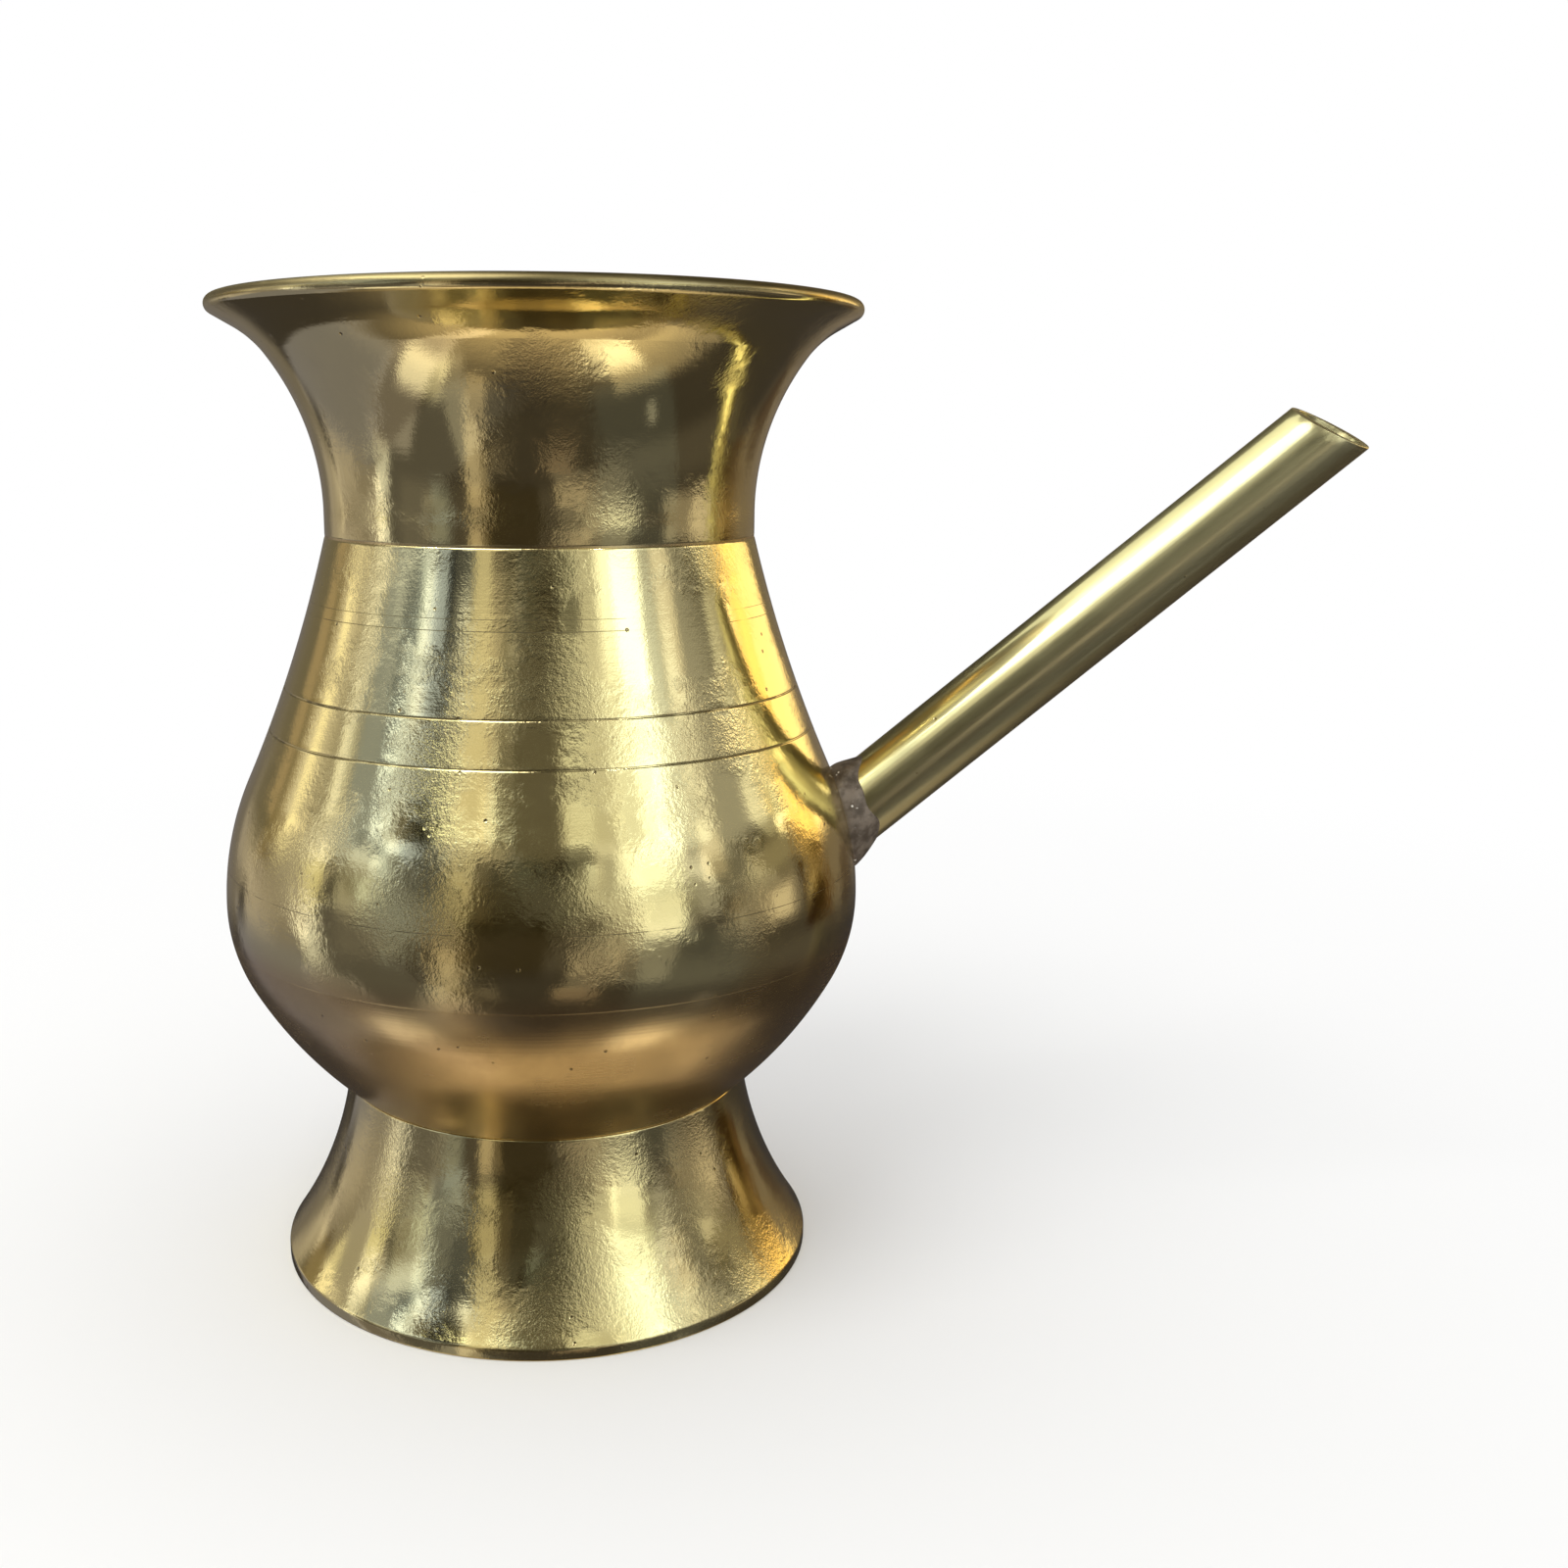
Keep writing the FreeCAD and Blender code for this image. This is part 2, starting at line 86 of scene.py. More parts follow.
def arc(centre, start, end, turn, steps):
    # points centre + reach (cos angle, sin angle) from start to end; turn is 1 for
    # anticlockwise and -1 for clockwise
    centre, start, end = (np.array(p, float) for p in (centre, start, end))
    a = math.atan2(start[1] - centre[1], start[0] - centre[0])
    b = math.atan2(end[1] - centre[1], end[0] - centre[0])
    if turn > 0 and b < a:
        b += 2 * math.pi
    if turn < 0 and b > a:
        b -= 2 * math.pi
    angles = np.linspace(a, b, steps)
    reach = np.linalg.norm(start - centre)
    return centre + reach * np.c_[np.cos(angles), np.sin(angles)]


def bowlUnderside(sizes):
    # centre and radius of the arc under the bowl: its centre is on the axis, and on the line
    # from the seat through the flank's centre, so that it goes on smoothly from the flank
    turnCentre = (sizes["bellyRadius"] - sizes["bellyCurve"], sizes["bellyHeight"])
    flank, seat = sizes["flankCurve"], np.array(sizes["seat"])
    flankCentre = rightMeeting(turnCentre, flank - sizes["bellyCurve"], seat, flank)
    radius = flank * seat[0] / (seat[0] - flankCentre[0])
    return seat + unit(flankCentre - seat) * radius, radius


def skin(grow, sizes):
    # the body's outline moved outwards by grow, as (radius, height) rows from the bottom up:
    # five arcs, each of which starts in the direction in which the last one ends
    turnCentre = np.array([sizes["bellyRadius"] - sizes["bellyCurve"], sizes["bellyHeight"]])
    shoulderCentre = np.array(
        [sizes["bellyRadius"] - sizes["shoulderCurve"], sizes["bellyHeight"]]
    )
    flank, waist = sizes["flankCurve"], sizes["waistSweep"]
    seat, crease = np.array(sizes["seat"]), np.array(sizes["crease"])
    flankCentre = rightMeeting(turnCentre, flank - sizes["bellyCurve"], seat, flank)
    waistCentre = rightMeeting(shoulderCentre, sizes["shoulderCurve"] + waist, crease, waist)
    capCentre, toAxis = bowlUnderside(sizes)
    bottom = np.array([0.0, capCentre[1] - toAxis - grow])
    low = flankCentre + unit(seat - flankCentre) * (flank + grow)
    middle = flankCentre + unit(turnCentre - flankCentre) * (flank + grow)
    belly = np.array([sizes["bellyRadius"] + grow, sizes["bellyHeight"]])
    high = shoulderCentre + unit(waistCentre - shoulderCentre) * (
        sizes["shoulderCurve"] + grow
    )
    fall = crease[1] - waistCentre[1]
    top = np.array([waistCentre[0] - math.sqrt((waist - grow) ** 2 - fall**2), crease[1]])
    runs = [
        arc(capCentre, bottom, low, 1, 46),
        arc(flankCentre, low, middle, 1, 34)[1:],
        arc(turnCentre, middle, belly, 1, 26)[1:],
        arc(shoulderCentre, belly, high, 1, 40)[1:],
        arc(waistCentre, high, top, -1, 70)[1:],
    ]
    return np.vstack(runs)


def between(outline, low, high):
    # the stretch of an outline that rises from one height to another, with its two end points
    # placed by straight lines between neighbours
    radii, heights = outline.T
    gap = 0.02
    inside = outline[(heights > low + gap) & (heights < high - gap)]
    ends = [[np.interp(h, heights, radii), h] for h in (low, high)]
    return np.vstack([ends[0], inside, ends[1]])


softening = {"sharpBend": 14, "sameSpot": 0.05, "mostOfGap": 0.49, "longCurve": 1.0}


def softened(loop, reach, closed=True, special=()):
    # every sharp corner of an outline becomes a short curve from start, reach before it along
    # the outline, to end, reach after it: (1-t)^2 start + 2t(1-t) corner + t^2 end; special
    # gives another reach to the corner at a stated spot
    ring = np.vstack([loop, loop[:1]]) if closed else loop
    steps = np.linalg.norm(np.diff(ring, axis=0), axis=1)
    along = np.concatenate([[0], np.cumsum(steps)])
    total = along[-1]

    def pointAt(distance):
        distance = distance % total if closed else distance
        return np.array([np.interp(distance, along, ring[:, k]) for k in (0, 1)])

    def apart(spot, place):
        gap = np.abs(spot - place)
        return np.minimum(gap, total - gap) if closed else gap

    corners = []
    first = 0 if closed else 1
    for index in range(first, len(loop) - first):
        a = loop[index] - loop[index - 1]
        b = loop[(index + 1) % len(loop)] - loop[index]
        bend = (a @ b) / (np.linalg.norm(a) * np.linalg.norm(b))
        if bend > math.cos(math.radians(softening["sharpBend"])):
            continue
        wide = reach
        for spot, other in special:
            if np.linalg.norm(loop[index] - np.array(spot)) < softening["sameSpot"]:
                wide = other
        corners.append([along[index], wide, loop[index]])
    kept = [(spot, point) for spot, point in zip(along, loop)]
    places = np.array([corner[0] for corner in corners])
    for number, (place, wide, point) in enumerate(corners):
        gaps = apart(np.delete(places, number), place)
        wide = min(wide, softening["mostOfGap"] * gaps.min())
        start, end = pointAt(place - wide), pointAt(place + wide)
        kept = [(spot, other) for spot, other in kept if apart(spot, place) > wide + 1e-6]
        for t in np.linspace(0, 1, 13 if wide > softening["longCurve"] else 5):
            curve = (1 - t) ** 2 * start + 2 * t * (1 - t) * point + t**2 * end
            spot = place + wide * (2 * t - 1)
            kept.append((spot % total if closed else spot, curve))
    kept.sort(key=lambda pair: pair[0])
    return np.array([point for _, point in kept])


# meshes
def gridMesh(name, points, wrapAcross=True, wrapAlong=True):
    # a mesh from an array of points, rows by columns; the faces look along the way from one
    # row to the next crossed with the way from one column to the next
    rows, columns = points.shape[:2]
    index = np.arange(rows * columns).reshape(rows, columns)
    if wrapAcross:
        index = np.vstack([index, index[:1]])
    if wrapAlong:
        index = np.hstack([index, index[:, :1]])
    faces = np.stack(
        [index[:-1, :-1], index[1:, :-1], index[1:, 1:], index[:-1, 1:]], axis=-1
    ).reshape(-1, 4)
    mesh = bpy.data.meshes.new(name)
    mesh.from_pydata((points.reshape(-1, 3) * mm).tolist(), [], faces.tolist())
    mesh.update()
    piece = bpy.data.objects.new(name, mesh)
    bpy.context.scene.collection.objects.link(piece)
    return piece


def finishMesh(piece, sharpAngle=50):
    # doubles at the poles are merged, and the shading is smooth up to a stated angle
    work = bmesh.new()
    work.from_mesh(piece.data)
    bmesh.ops.remove_doubles(work, verts=work.verts, dist=1e-7)
    work.to_mesh(piece.data)
    work.free()
    piece.data.shade_smooth()
    piece.data.set_sharp_from_angle(angle=math.radians(sharpAngle))
    return piece


def turned(name, outline, segments=448, closed=True):
    # an outline of (radius, height) rows turned once round the Z axis:
    # (r cos a, r sin a, h), a all the way round
    angles = np.linspace(0, 2 * math.pi, segments, endpoint=False)[:, None]
    radii, heights = outline[:, 0][None, :], outline[:, 1][None, :]
    points = np.stack(
        [radii * np.cos(angles), radii * np.sin(angles), heights + 0 * angles], axis=-1
    )
    return finishMesh(gridMesh(name, points, True, closed))


def dress(piece, material, node):
    # a finished piece gets its material and slot, rides on the body, and stands for a CAD node
    piece.data.materials.clear()
    piece.data.materials.append(material)
    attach(piece, "root")
    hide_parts(node)
    print("piece made:", piece.name, len(piece.data.polygons), "faces")


# shader sums
class Wire:
    # one socket of a node tree; a sum written on it adds the nodes that work it out
    def __init__(self, tree, socket=None):
        self.tree = tree
        self.socket = socket

    def node(self, kind, settings=None, feeds=None, out=0):
        made = self.tree.nodes.new(kind)
        for key, value in (settings or {}).items():
            setattr(made, key, value)
        for key, value in (feeds or {}).items():
            if isinstance(value, Wire):
                self.tree.links.new(value.socket, made.inputs[key])
            else:
                made.inputs[key].default_value = value
        return Wire(self.tree, made.outputs[out])

    def maths(self, operation, *values):
        return self.node("ShaderNodeMath", {"operation": operation}, dict(enumerate(values)))

    def __add__(self, other):
        return self.maths("ADD", self, other)

    __radd__ = __add__

    def __mul__(self, other):
        return self.maths("MULTIPLY", self, other)

    __rmul__ = __mul__

    def __sub__(self, other):
        return self.maths("SUBTRACT", self, other)

    def __truediv__(self, other):
        return self.maths("DIVIDE", self, other)

    def size(self):
        # without its sign
        return self.maths("ABSOLUTE", self)

    def rise(self, low, high, start=0.0, end=1.0):
        # a smooth change from start to end while this goes from low to high
        return self.node(
            "ShaderNodeMapRange",
            {"interpolation_type": "SMOOTHSTEP"},
            {"Value": self, 1: low, 2: high, 3: start, 4: end},
        )

    def band(self, middle, half, soft):
        # 1 within half of the middle, and 0 beyond it, with soft edges
        return (self - middle).size().rise(half - soft, half + soft, 1.0, 0.0)

    def vector(self, operation, *values):
        return self.node(
            "ShaderNodeVectorMath", {"operation": operation}, dict(enumerate(values))
        )

    def times(self, factor):
        return self.node("ShaderNodeVectorMath", {"operation": "SCALE"}, {0: self, 3: factor})

    def parts(self):
        split = self.node("ShaderNodeSeparateXYZ", feeds={0: self}).socket.node
        return [Wire(self.tree, socket) for socket in split.outputs]

    def joined(self, x, y, z):
        return self.node("ShaderNodeCombineXYZ", feeds={0: x, 1: y, 2: z})

    def noise(self, scale, detail=2.0, roughness=0.5):
        return self.node(
            "ShaderNodeTexNoise",
            feeds={"Vector": self, "Scale": scale, "Detail": detail, "Roughness": roughness},
        )

    def blend(self, first, second):
        # first where this is 0, second where it is 1
        return self.node(
            "ShaderNodeMix",
            {"data_type": "RGBA"},
            {0: self, 6: first, 7: second},
            out=2,
        )


def newMaterial(name):
    # an empty material and the wire that its first nodes are made with
    material = bpy.data.materials.new(name)
    material.use_nodes = True
    material.node_tree.nodes.clear()
    return material, Wire(material.node_tree)


def closeMaterial(start, shader):
    output = start.tree.nodes.new("ShaderNodeOutputMaterial")
    start.tree.links.new(shader.socket, output.inputs[0])


def rgb(colour):
    return (*colour, 1.0)


def worked(start, place, look):
    # the noise field of the lathe's lines, stretched long round the vessel or along the spout
    x, y, z = place.parts()
    along, across = look["alongLine"], look["acrossLine"]
    if "slope" not in look:
        return start.joined(x * along, y * along, z * across).noise(1.0, 3.0, 0.6)
    tilt = math.radians(look["slope"])
    lengthwise = x * math.cos(tilt) + z * math.sin(tilt)
    upwards = z * math.cos(tilt) - x * math.sin(tilt)
    return start.joined(upwards * across, y * across, lengthwise * along).noise(1.0, 3.0, 0.6)


def pitted(start, place, look):
    # 1 in small round pits at a few of the cells of a Voronoi pattern, and 0 beside them
    cells = start.node(
        "ShaderNodeTexVoronoi",
        feeds={"Vector": place, "Scale": look["pitScale"]},
        out="Distance",
    )
    picked = place.noise(look["pitScale"] * look["pitPickScale"], 0.0, 0.5)
    return cells.rise(*look["pitEdge"], 1.0, 0.0) * picked.rise(*look["pitPick"])


def paintShadeAndSatin(start, place, look, tone, rough):
    # painted shade in the scribed lines, in broken stretches, standing in for the shade inside
    # their grooves; the bowl's satin finish that reaches a little way up over the seam; and
    # painted shade, made duller too, on the lip's edge to hold back its reflected highlight
    x, y, z = place.parts()
    patchy = start.joined(x, y, z * look["patchFlatness"]).noise(look["patchScale"], 2.0, 0.6)
    patchy = patchy.rise(*look["patchEdge"], look["patchLeast"], 1.0)
    grooveShade = 0.0
    # painted shade: dark lines at the scribed lines stand in for the shade inside their grooves
    for level, half in look["grooveShadeLines"]:
        grooveShade = z.band(level, half, half * look["grooveShadeSoftness"]) + grooveShade
    grooveShade = grooveShade * patchy
    tone = (grooveShade * look["grooveShadeShare"]).blend(tone, rgb(look["grooveShadeColour"]))
    rough = rough + grooveShade * look["grooveShadeDullness"]
    top = look["satinTop"]
    satinShare = z.rise(*look["satinFoot"]) * z.rise(top - look["satinFade"], top, 1.0, 0.0)
    tone = satinShare.blend(tone, rgb(look["satinColour"]))
    rough = rough + satinShare * look["satinDullness"]
    # painted shade: the lip's rounded edge is darkened so that its reflected highlight is held
    # back
    lipShade = z.rise(*look["lipShadeEdge"])
    tone = (lipShade * look["lipShadeShare"]).blend(tone, rgb(look["lipShadeColour"]))
    return tone, rough + lipShade * look["lipShadeDullness"]


def brass(name, look):
    # bright metal with fine lines from the lathe, broad unevenness from hand polishing,
    # small pits and a thin uneven haze; the height is the sum of those, in millimetres
    material, start = newMaterial(name)
    place = start.node("ShaderNodeTexCoord", out="Object").times(1 / mm)
    lines = worked(start, place, look)
    broad = place.noise(look["broadScale"], 2.0, 0.45)
    haze = place.noise(look["hazeScale"], 5.0, 0.62)
    grain = place.noise(look["grainScale"], 3.0, 0.7)
    spark = place.noise(look["sparkScale"], 1.0, 0.5)
    pits = pitted(start, place, look)
    mottled = haze.rise(*look["mottleEdge"])
    height = (
        broad * look["broadHeight"]
        + lines * look["lineHeight"]
        + grain * look["grainHeight"] * (look["grainLeast"] + mottled)
        + spark * look["sparkHeight"] * (look["sparkLeast"] + mottled)
        - pits * look["pitHeight"]
    )
    bump = start.node(
        "ShaderNodeBump", feeds={"Strength": 1.0, "Distance": mm, "Height": height}
    )
    tone = haze.rise(*look["hazeEdge"]).blend(rgb(look["colour"]), rgb(look["hazeColour"]))
    tone = (pits * look["pitShare"]).blend(tone, rgb(look["pitColour"]))
    rough = look["roughness"] + mottled * look["hazeRoughness"] + lines * look["lineRoughness"]
    # painted shade in the grooves and on the lip's edge, and the satin finish over the seam
    if "grooveShadeLines" in look:
        tone, rough = paintShadeAndSatin(start, place, look, tone, rough)
    # fine scratches scatter a share of the light in a wide soft glow
    share = look["glowShare"] + (haze - 0.5) * look["glowWander"]
    clear, glow = (
        start.node(
            "ShaderNodeBsdfPrincipled",
            feeds={"Base Color": tone, "Metallic": 1.0, "Roughness": spread, "Normal": bump},
        )
        for spread in (rough, rough + look["glowSpread"])
    )
    metal = start.node("ShaderNodeMixShader", feeds={0: share, 1: clear, 2: glow})
    closeMaterial(start, metal)
    return material


# what all the brass shares: a pair named edge or pick says where a noise starts and ends its
# rise, a share is how much of a colour shows, and dullness is added roughness
plainLook = {
    "colour": (0.91, 0.76, 0.35),
    "hazeColour": (0.85, 0.71, 0.34),
    "hazeScale": 0.09,
    "hazeEdge": (0.3, 0.75),
    "mottleEdge": (0.45, 0.62),
    "roughness": 0.045,
    "hazeRoughness": 0.05,
    "lineRoughness": 0.04,
    "glowSpread": 0.25,
    "glowShare": 0.05,
    "glowWander": 0.3,
    "acrossLine": 2.6,
    "alongLine": 0.02,
    "lineHeight": 0.004,
    "broadScale": 0.075,
    "broadHeight": 0.07,
    "grainScale": 1.9,
    "grainHeight": 0.032,
    "grainLeast": 0.25,
    "sparkScale": 4.5,
    "sparkHeight": 0.013,
    "sparkLeast": 0.2,
    "pitScale": 0.45,
    "pitPickScale": 0.37,
    "pitEdge": (0.04, 0.12),
    "pitPick": (0.62, 0.66),
    "pitHeight": 0.04,
    "pitShare": 0.8,
    "pitColour": (0.22, 0.15, 0.07),
}
# each dark line of painted shade in the scribed grooves is a height and half its width
polishedLook = dict(
    plainLook,
    grooveShadeLines=((71.0, 0.13), (76.2, 0.13), (85.6, 0.04), (86.9, 0.03), (53.9, 0.04)),
    grooveShadeSoftness=0.6,
    grooveShadeShare=0.85,
    grooveShadeDullness=0.25,
    grooveShadeColour=(0.16, 0.12, 0.05),
    patchScale=0.13,
    patchFlatness=0.3,
    patchEdge=(0.44, 0.54),
    patchLeast=0.1,
    satinFoot=(30.0, 32.0),
    satinTop=48.6,
    satinFade=4.0,
    satinDullness=0.13,
    satinColour=(0.74, 0.55, 0.255),
    # painted shade along the lip's edge, which holds back its reflected highlight
    lipShadeEdge=(121.5, 122.4),
    lipShadeShare=0.9,
    lipShadeDullness=0.3,
    lipShadeColour=(0.26, 0.20, 0.09),
)
satinLook = dict(
    plainLook,
    colour=(0.74, 0.55, 0.255),
    hazeColour=(0.64, 0.46, 0.21),
    roughness=0.19,
    hazeRoughness=0.05,
    lineRoughness=0.06,
    lineHeight=0.008,
    acrossLine=3.0,
    broadHeight=0.05,
    sparkHeight=0.002,
    grainHeight=0.005,
)
drawnLook = dict(
    plainLook,
    slope=40.0,
    colour=(0.82, 0.73, 0.38),
    hazeColour=(0.70, 0.62, 0.33),
    acrossLine=2.2,
    alongLine=0.03,
    lineHeight=0.012,
    broadHeight=0.03,
    roughness=0.10,
    glowSpread=0.26,
    glowShare=0.55,
    sparkHeight=0.0015,
    grainHeight=0.006,
)
dressedLook = dict(
    plainLook,
    colour=(0.76, 0.59, 0.28),
    hazeColour=(0.60, 0.45, 0.21),
    roughness=0.2,
    grainHeight=0.02,
)


def brazingMetal(name, look):
    # dark run metal: glossy lumps with a scorched skin and pale specks of flux, which are the
    # picked cells of a Voronoi pattern
    material, start = newMaterial(name)
    place = start.node("ShaderNodeTexCoord", out="Object").times(1 / mm)
    lumps = place.noise(look["lumpScale"], 4.0, 0.6)
    skinNoise = place.noise(look["skinScale"], 3.0, 0.6)
    speck = start.node(
        "ShaderNodeTexVoronoi",
        feeds={"Vector": place, "Scale": look["speckScale"]},
        out="Distance",
    ).rise(*look["speckEdge"], 1.0, 0.0)
    picked = place.noise(look["speckScale"] * look["speckPickScale"], 0.0, 0.5)
    specks = speck * picked.rise(*look["speckPick"])
    tone = skinNoise.rise(*look["skinEdge"]).blend(rgb(look["dark"]), rgb(look["brown"]))
    tone = specks.blend(tone, rgb(look["pale"]))
    bump = start.node(
        "ShaderNodeBump",
        feeds={"Strength": 1.0, "Distance": mm, "Height": lumps * look["lumpHeight"]},
    )
    metal = start.node(
        "ShaderNodeBsdfPrincipled",
        feeds={
            "Base Color": tone,
            "Metallic": specks * (look["speckMetal"] - look["metal"]) + look["metal"],
            "Roughness": skinNoise * look["skinRoughness"] + look["roughness"],
            "Normal": bump,
        },
    )
    closeMaterial(start, metal)
    return material


runLook = {
    "dark": (0.115, 0.088, 0.062),
    "brown": (0.25, 0.20, 0.15),
    "pale": (0.80, 0.74, 0.64),
    "lumpScale": 0.8,
    "lumpHeight": 0.14,
    "skinScale": 0.5,
    "skinEdge": (0.35, 0.65),
    "skinRoughness": 0.25,
    "roughness": 0.3,
    "metal": 0.45,
    "speckMetal": 0.05,
    "speckScale": 1.1,
    "speckEdge": (0.12, 0.2),
    "speckPickScale": 0.4,
    "speckPick": (0.5, 0.55),
}

polished = brass("polishedBrass", polishedLook)
satin = brass("satinBrass", satinLook)
drawnBrass = brass("drawnBrass", drawnLook)
dressed = brass("dressedBraze", dressedLook)
runMetal = brazingMetal("runBraze", runLook)
print("materials made")

# neck and lip
neck = {
    "radius": body["crease"][0],
    "throat": 97.6,
    "wall": 1.5,
    "rimRadius": 40.0,
    "rimHeight": 122.9,
    "lipReach": 5.0,
    "lipDrop": 4.4,
    "lipEdge": 1.0,
    "lapFloor": 92.3,
    "lapRadius": 26.4,
    "edge": 0.15,
    "turnOverEdge": 2.3,
    "lipInsideEdge": 0.45,
    "creaseEdge": 0.3,
}


def neckOutline(sizes):
    # a closed outline: up the trumpet on an arc of radius (run^2 + climb^2) / (2 run), which
    # starts upright at the throat, round the lip's small arc, and back down inside on an arc
    # with the same centre, to the lap inside the body's wall
    creaseHeight = body["crease"][1]
    throat = np.array([sizes["radius"], sizes["throat"]])
    turnOver = np.array(
        [sizes["rimRadius"] - sizes["lipReach"], sizes["rimHeight"] - sizes["lipDrop"]]
    )
    run, climb = turnOver - throat
    flare = (run**2 + climb**2) / (2 * run)
    flareCentre = throat + [flare, 0]
    edge = sizes["lipEdge"]
    lipCentre = np.array([sizes["rimRadius"] - edge, sizes["rimHeight"] - edge])
    under = math.sqrt(np.linalg.norm(turnOver - lipCentre) ** 2 - edge**2)
    lipUnder = rightMeeting(turnOver, under, lipCentre, edge)
    inner = flare + sizes["wall"]
    lipInside = flareCentre[0] - math.sqrt(
        inner**2 - (sizes["rimHeight"] - sizes["throat"]) ** 2
    )
    bore = sizes["radius"] - sizes["wall"]
    loop = np.vstack(
        [
            [[sizes["radius"], creaseHeight]],
            arc(flareCentre, throat, turnOver, -1, 60)[:-1],
            [turnOver],
            arc(lipCentre, lipUnder, lipCentre + [0, edge], 1, 14),
            arc(flareCentre, (lipInside, sizes["rimHeight"]), (bore, sizes["throat"]), 1, 60),
            [[bore, sizes["lapFloor"]]],
            [[sizes["lapRadius"], sizes["lapFloor"]]],
            [[sizes["lapRadius"], creaseHeight]],
        ]
    )
    special = [
        (turnOver, sizes["turnOverEdge"]),
        ((lipInside, sizes["rimHeight"]), sizes["lipInsideEdge"]),
        ((sizes["radius"], creaseHeight), sizes["creaseEdge"]),
    ]
    return softened(loop, sizes["edge"], special=special)


dress(turned("neckRim", neckOutline(neck)), polished, "neck_rim")

# body shells
# one cut line's section, as pairs: how far from its middle in half widths, and the share of
# its depth there
cutShape = ((-1.5, 0), (-1, 0.12), (-0.4, 1), (0.4, 1), (1, 0.12), (1.5, 0))


def lined(outline, sizes):
    # two shallow lines are cut into the skin: radius = skin's radius - share of depth
    radii, heights = outline.T
    keep = outline
    cuts = []
    half = sizes["lineWidth"] / 2
    for level in sizes["lines"]:
        keep = keep[np.abs(keep[:, 1] - level) > half * sizes["lineClear"]]
        for offset, share in cutShape:
            height = level + offset * half
            radius = np.interp(height, heights, radii) - share * sizes["lineDepth"]
            cuts.append([radius, height])
    joined = np.vstack([keep, cuts])
    return joined[np.argsort(joined[:, 1])]


def shellOutlines(sizes):
    # the upper shell's closed outline and the bowl's open one from the axis and back to it:
    # the skin outside, the skin moved in by the wall inside, and the half lap at the seam
    outer, inner = skin(0.0, sizes), skin(-sizes["wall"], sizes)
    seam, crease = sizes["seamHeight"], sizes["crease"][1]
    seamRadius = np.interp(seam, outer[:, 1], outer[:, 0])
    lapRadius = seamRadius - sizes["lapDepth"]
    lapTop = seam + sizes["lapHeight"]
    upperOuter = lined(between(outer, seam, crease), sizes)
    upperInner = between(inner, lapTop, neck["lapFloor"])[::-1]
    upperLoop = np.vstack(
        [
            upperOuter,
            [[neck["lapRadius"], crease], [neck["lapRadius"], neck["lapFloor"]]],
            upperInner,
            [[lapRadius, lapTop], [lapRadius, seam]],
        ]
    )
    gap = 0.05
    lowerOuter = outer[outer[:, 1] < seam - gap]
    lowerInner = inner[inner[:, 1] < lapTop - gap][::-1]
    lowerChain = np.vstack(
        [
            lowerOuter,
            [[seamRadius, seam], [lapRadius, seam], [lapRadius, lapTop]],
            [[np.interp(lapTop, inner[:, 1], inner[:, 0]), lapTop]],
            lowerInner,
        ]
    )
    special = [((seamRadius, seam), sizes["seamEdge"]), (upperOuter[-1], sizes["creaseEdge"])]
    return (
        softened(upperLoop, sizes["edge"], special=special),
        softened(lowerChain, sizes["edge"], closed=False, special=special),
        seamRadius,
    )


upperLoop, lowerChain, seamRadius = shellOutlines(body)
upperBody = turned("upperBody", upperLoop, body["segments"])
dress(
    turned("lowerBowl", lowerChain, closed=False), satin, "lower_bowl"
)

# spout
spout = {
    "bore": 4.0,
    "outside": 5.0,
    "slope": 40.0,
    "entry": (40.95, 0.0, 59.5),
    "start": -6.5,
    "reach": 75.9,
    "slant": 28.6,
    "turn": 32.3,
    "edge": 0.16,
    "holeRadius": 4.5,
    "holeSteps": (-9.0, -3.0, 3.0, 9.0),
    "holeSegments": 64,
}


def spoutFrame(sizes):
    # where the tube enters the body and its own axes: along it, down across it, and sideways
    tilt = math.radians(sizes["slope"])
    along = np.array([math.cos(tilt), 0.0, math.sin(tilt)])
    down = np.array([math.sin(tilt), 0.0, -math.cos(tilt)])
    side = np.array([0.0, 1.0, 0.0])
    return np.array(sizes["entry"]), along, down, side


def onTube(sizes, angles, radii, lengths):
    # entry + length along + radius (cos angle down + sin angle side)
    entry, along, down, side = spoutFrame(sizes)
    angles, radii, lengths = np.broadcast_arrays(angles, radii, lengths)
    return (
        entry
        + lengths[..., None] * along
        + (radii * np.cos(angles))[..., None] * down
        + (radii * np.sin(angles))[..., None] * side
    )


